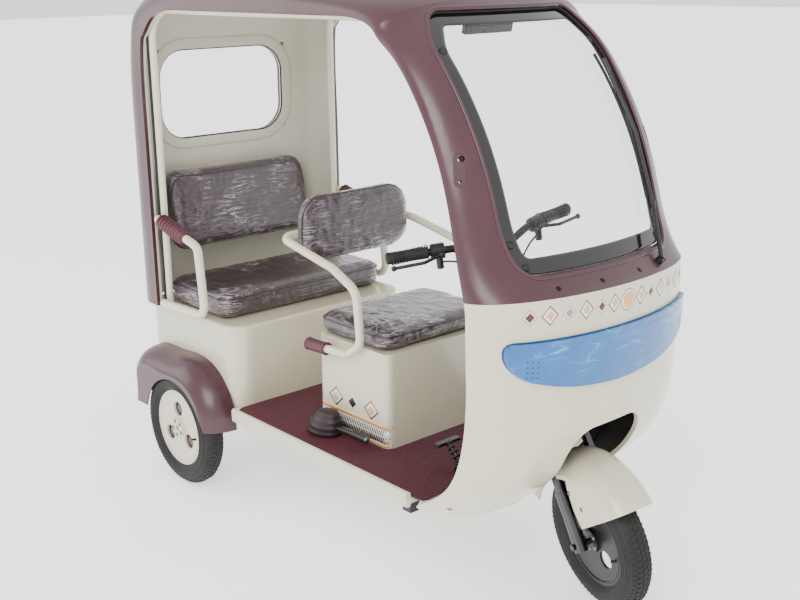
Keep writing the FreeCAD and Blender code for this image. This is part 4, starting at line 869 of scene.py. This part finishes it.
# Parking brake: a folded maroon-brown rubber boot over the lever's foot, and a chromed end button.
dress(black_enamel, "parking_brake")
boot_rubber = finish("moulded_brown_boot", "1E0C11", "2A1319", 0.5, grain=0.0012)
boot_low, boot_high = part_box("parking_brake")
boot_form = bmesh.new()
boot_profile = [(1.0, 0.000), (1.04, 0.006), (1.0, 0.014), (0.93, 0.018), (0.98, 0.026), (0.93, 0.034), (0.84, 0.038), (0.88, 0.046), (0.80, 0.054),
                (0.68, 0.058), (0.70, 0.066), (0.58, 0.074), (0.40, 0.079), (0.2, 0.081)]
boot_centre = Vector((axle_x + 0.600, -0.282, floor_level + 0.0006))
boot_rings = []
for share, rise in boot_profile:
    lean = rise * 0.35
    boot_rings.append([boot_form.verts.new(boot_centre + Vector((0.064 * share * math.cos(math.tau * n / 40) + lean, 0.046 * share * math.sin(math.tau * n / 40), rise))) for n in range(40)])
for low_ring, high_ring in zip(boot_rings, boot_rings[1:]):
    for n in range(40):
        boot_form.faces.new((low_ring[n], low_ring[(n + 1) % 40], high_ring[(n + 1) % 40], high_ring[n]))
boot_form.faces.new(boot_rings[-1])
boot_form.faces.new(boot_rings[0][::-1])
bmesh.ops.recalc_face_normals(boot_form, faces=boot_form.faces)
fitted("parking_brake_boot", meshed("parking_brake_boot", boot_form), boot_rubber)
button_tip = Vector((axle_x + 0.808, -0.282, 0.356))
screws("parking_brake_button", [(button_tip, (1, 0, 0), (0, 0, 1))], 0.0085, 0.006, bolt_zinc)
pedal_path = [Vector((axle_x + 1.095, -0.170, 0.326)), Vector((axle_x + 1.085, -0.170, 0.352)), Vector((axle_x + 1.046, -0.170, 0.386))]
bellows = []
for number in range(8):
    share = number / 7
    point = pedal_path[0].lerp(pedal_path[1], share * 2) if share < 0.5 else pedal_path[1].lerp(pedal_path[2], share * 2 - 1)
    bellows.append(hoops(point, pedal_path[1] - pedal_path[0] if share < 0.5 else pedal_path[2] - pedal_path[1], 0.013 - 0.004 * share, 20))
beads("brake_pedal_boot", bellows, 0.0032, boot_rubber, closed=True)
tread_lines = [[Vector((axle_x + 1.0325 + 0.0038 * number, -0.170 - 0.042, 0.3945)), Vector((axle_x + 1.0325 + 0.0038 * number, -0.170 + 0.042, 0.3945))] for number in range(5)]
beads("brake_pedal_pad", tread_lines, 0.0019, bolt_zinc)

# ==== Cushions ===================================================================================
# Foam pads in plum leathercloth with a piped seam, each still in its clear shipping film, which is
# tight, glossy and creased; the white streaks along its creases are painted highlights in its colour.
wrapped = bpy.data.materials.new("film_wrapped_leathercloth")
wrapped.use_nodes = True
wrap_tree = wrapped.node_tree
wrap_top = wrap_tree.nodes["Principled BSDF"]
wrap_place = add(wrap_tree, "ShaderNodeTexCoord").outputs["Object"]
wrap_stretch = add(wrap_tree, "ShaderNodeMapping", {"Vector": wrap_place, "Rotation": (0.55, 0.45, 0.0), "Scale": (7.0, 7.0, 60.0)})
wrap_crease = add(wrap_tree, "ShaderNodeTexNoise", {"Vector": wrap_stretch.outputs[0], "Scale": 1.0, "Detail": 6.0, "Distortion": 1.6})
wrap_ridge = add(wrap_tree, "ShaderNodeMath", {0: wrap_crease.outputs["Fac"], 1: 0.5}, operation="SUBTRACT")
wrap_ridge = add(wrap_tree, "ShaderNodeMath", {0: wrap_ridge.outputs[0]}, operation="ABSOLUTE")
# Thin lines along the creases, in patches, are mixed to pale grey: painted highlights of the film.
wrap_highlight_line = add(wrap_tree, "ShaderNodeMapRange", {"Value": wrap_ridge.outputs[0], "From Min": 0.0, "From Max": 0.03, "To Min": 1.0, "To Max": 0.0})
wrap_patch = add(wrap_tree, "ShaderNodeTexNoise", {"Vector": wrap_place, "Scale": 8.0, "Detail": 2.0})
wrap_highlight_patches = add(wrap_tree, "ShaderNodeMapRange", {"Value": wrap_patch.outputs["Fac"], "From Min": 0.48, "From Max": 0.66, "To Max": 0.75})
wrap_highlight_mask = add(wrap_tree, "ShaderNodeMath", {0: wrap_highlight_line.outputs[0], 1: wrap_highlight_patches.outputs[0]}, operation="MULTIPLY")
wrap_grain = add(wrap_tree, "ShaderNodeTexVoronoi", {"Vector": wrap_place, "Scale": 420.0})
wrap_tone = add(wrap_tree, "ShaderNodeMix", {0: wrap_patch.outputs["Fac"], 6: linear("2C1F26"), 7: linear("43323A")}, data_type="RGBA")
wrap_painted_highlights = add(wrap_tree, "ShaderNodeMix", {0: wrap_highlight_mask.outputs[0], 6: wrap_tone.outputs[2], 7: linear("D9D2D6")}, data_type="RGBA")
wrap_bump = add(wrap_tree, "ShaderNodeBump", {"Height": wrap_crease.outputs["Fac"], "Strength": 0.7, "Distance": 0.007})
wrap_fine = add(wrap_tree, "ShaderNodeBump", {"Height": wrap_grain.outputs["Distance"], "Strength": 0.15, "Distance": 0.0006, "Normal": wrap_bump.outputs["Normal"]})
wrap_tree.links.new(wrap_painted_highlights.outputs[2], wrap_top.inputs["Base Color"])
wrap_tree.links.new(wrap_fine.outputs["Normal"], wrap_top.inputs["Normal"])
wrap_tree.links.new(wrap_bump.outputs["Normal"], wrap_top.inputs["Coat Normal"])
wrap_top.inputs["Roughness"].default_value = 0.38
wrap_top.inputs["Coat Weight"].default_value = 1.0
wrap_top.inputs["Coat Roughness"].default_value = 0.05
piping = finish("plum_piping_cord", "2A1E24", "382A31", 0.4, Coat_Weight=0.4, Coat_Roughness=0.08)


def padded_pad(name, node, cap, seam_axis, seam_share):
    """A pad grown from its CAD solid: remeshed, blown up a little by cloth pressure, creased, then piped."""
    source = nodes[node].data.copy()
    form = bmesh.new()
    form.from_mesh(source)
    bmesh.ops.remove_doubles(form, verts=form.verts, dist=1e-5)
    low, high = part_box(node)
    centre = (low + high) / 2
    size = high - low
    shrink = Vector([(extent - 2 * 0.006) / extent for extent in size])
    for vertex in form.verts:
        vertex.co = centre + Vector([(vertex.co[axis] - centre[axis]) * shrink[axis] for axis in range(3)])
    form.to_mesh(source)
    form.free()
    pad = bpy.data.objects.new(name, source)
    bpy.context.scene.collection.objects.link(pad)
    remesh = pad.modifiers.new("even", "REMESH")
    remesh.mode = "VOXEL"
    remesh.voxel_size = 0.0065
    body = bpy.data.meshes.new_from_object(pad.evaluated_get(bpy.context.evaluated_depsgraph_get()))
    pad.modifiers.clear()
    pad.data = body
    before = [vertex.co.copy() for vertex in body.vertices]
    cloth = pad.modifiers.new("blow", "CLOTH")
    cloth.settings.use_pressure = True
    cloth.settings.uniform_pressure_force = 4.0
    cloth.settings.effector_weights.gravity = 0.0
    cloth.settings.quality = 4
    cloth.collision_settings.use_collision = False
    for step in range(1, 21):
        bpy.context.scene.frame_set(step)
    blown = bpy.data.meshes.new_from_object(pad.evaluated_get(bpy.context.evaluated_depsgraph_get()))
    pad.modifiers.clear()
    pad.data = blown
    for vertex, start in zip(blown.vertices, before):
        move = vertex.co - start
        if move.length > cap:
            vertex.co = start + move * (cap / move.length)
    bpy.context.scene.frame_set(1)
    mesh = pad.data
    smooth_form = bmesh.new()
    smooth_form.from_mesh(mesh)
    for _ in range(4):
        bmesh.ops.smooth_vert(smooth_form, verts=smooth_form.verts, factor=0.5, use_axis_x=True, use_axis_y=True, use_axis_z=True)
    smooth_form.normal_update()
    for vertex in smooth_form.verts:
        spot = Vector((vertex.co.x * 16, vertex.co.y * 34, vertex.co.z * 26))
        crease = 1 - abs(noise.noise(spot)) * 2
        vertex.co += vertex.normal * (0.0016 * max(0.0, crease) ** 3)
    smooth_form.to_mesh(mesh)
    cut = smooth_form.copy()
    plane_at = centre.copy()
    plane_at[seam_axis] = low[seam_axis] + size[seam_axis] * seam_share
    plane_out = Vector((0, 0, 0))
    plane_out[seam_axis] = 1.0
    made = bmesh.ops.bisect_plane(cut, geom=cut.verts[:] + cut.edges[:] + cut.faces[:], plane_co=plane_at, plane_no=plane_out,
                                  clear_inner=True, clear_outer=True)
    bmesh.ops.delete(cut, geom=[vertex for vertex in cut.verts if not vertex.link_edges], context="VERTS")
    seam = bpy.data.meshes.new(name + "_seam")
    cut.to_mesh(seam)
    cut.free()
    smooth_form.free()
    finer = pad.modifiers.new("finer", "SUBSURF")
    finer.levels = finer.render_levels = 1
    final = bpy.data.meshes.new_from_object(pad.evaluated_get(bpy.context.evaluated_depsgraph_get()))
    bpy.data.objects.remove(pad)
    piece = fitted(name, final, wrapped)
    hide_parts(node)
    grown(name + "_piping", seam, round_bead, {"Radius": 0.0032}, piping)
    return piece


padded_pad("bench_pad", "rear_bench_cushion", 0.007, 2, 0.76)
padded_pad("bench_back_pad", "rear_backrest", 0.007, 0, 0.62)
padded_pad("driver_pad", "driver_cushion", 0.007, 2, 0.72)
padded_pad("driver_back_pad", "driver_backrest", 0.007, 0, 0.60)

# ==== Stage ======================================================================================
# White studio floor and air, one large soft key from the camera's right and a weak fill.
floor_mesh = bpy.data.meshes.new("studio_floor")
floor_mesh.from_pydata([(-40, -40, 0), (40, -40, 0), (40, 40, 0), (-40, 40, 0)], [], [(0, 1, 2, 3)])
floor = bpy.data.objects.new("studio_floor", floor_mesh)
bpy.context.scene.collection.objects.link(floor)
floor_mesh.materials.append(finish("studio_paper", "F6F6F5", "FAFAF9", 0.7, Emission_Color=linear("FFFFFF"), Emission_Strength=0.9))
world = bpy.data.worlds.new("studio_air")
bpy.context.scene.world = world
world.use_nodes = True
world.node_tree.nodes["Background"].inputs["Color"].default_value = linear("FFFFFF")
world.node_tree.nodes["Background"].inputs["Strength"].default_value = 1.5
for name, place, size, power in (("key_light", (2.5, -3.5, 3.6), 2.6, 150), ("fill_light", (-3.5, -3.0, 2.6), 3.0, 60)):
    lamp_data = bpy.data.lights.new(name, "AREA")
    lamp_data.size = size
    lamp_data.energy = power
    lamp = bpy.data.objects.new(name, lamp_data)
    bpy.context.scene.collection.objects.link(lamp)
    lamp.location = place
    lamp.rotation_euler = (Vector((0, 0, 0.8)) - Vector(place)).to_track_quat("-Z", "Y").to_euler()
camera_data = bpy.data.cameras.new("camera")
camera_data.lens = 51.74
camera_data.sensor_width = 36.0
camera = bpy.data.objects.new("camera", camera_data)
bpy.context.scene.collection.objects.link(camera)
yaw, pitch, roll = math.radians(138.73), math.radians(16.16), math.radians(-0.71)
look = Vector((math.cos(yaw) * math.cos(pitch), math.sin(yaw) * math.cos(pitch), -math.sin(pitch)))
right = look.cross(Vector((0, 0, 1))).normalized()
up = right.cross(look)
turned_right = right * math.cos(roll) + up * math.sin(roll)
turned_up = up * math.cos(roll) - right * math.sin(roll)
camera.matrix_world = Matrix.Translation((axle_x + 3.2672, -2.301, 1.711)) @ Matrix((turned_right, turned_up, -look)).transposed().to_4x4()
bpy.context.scene.camera = camera
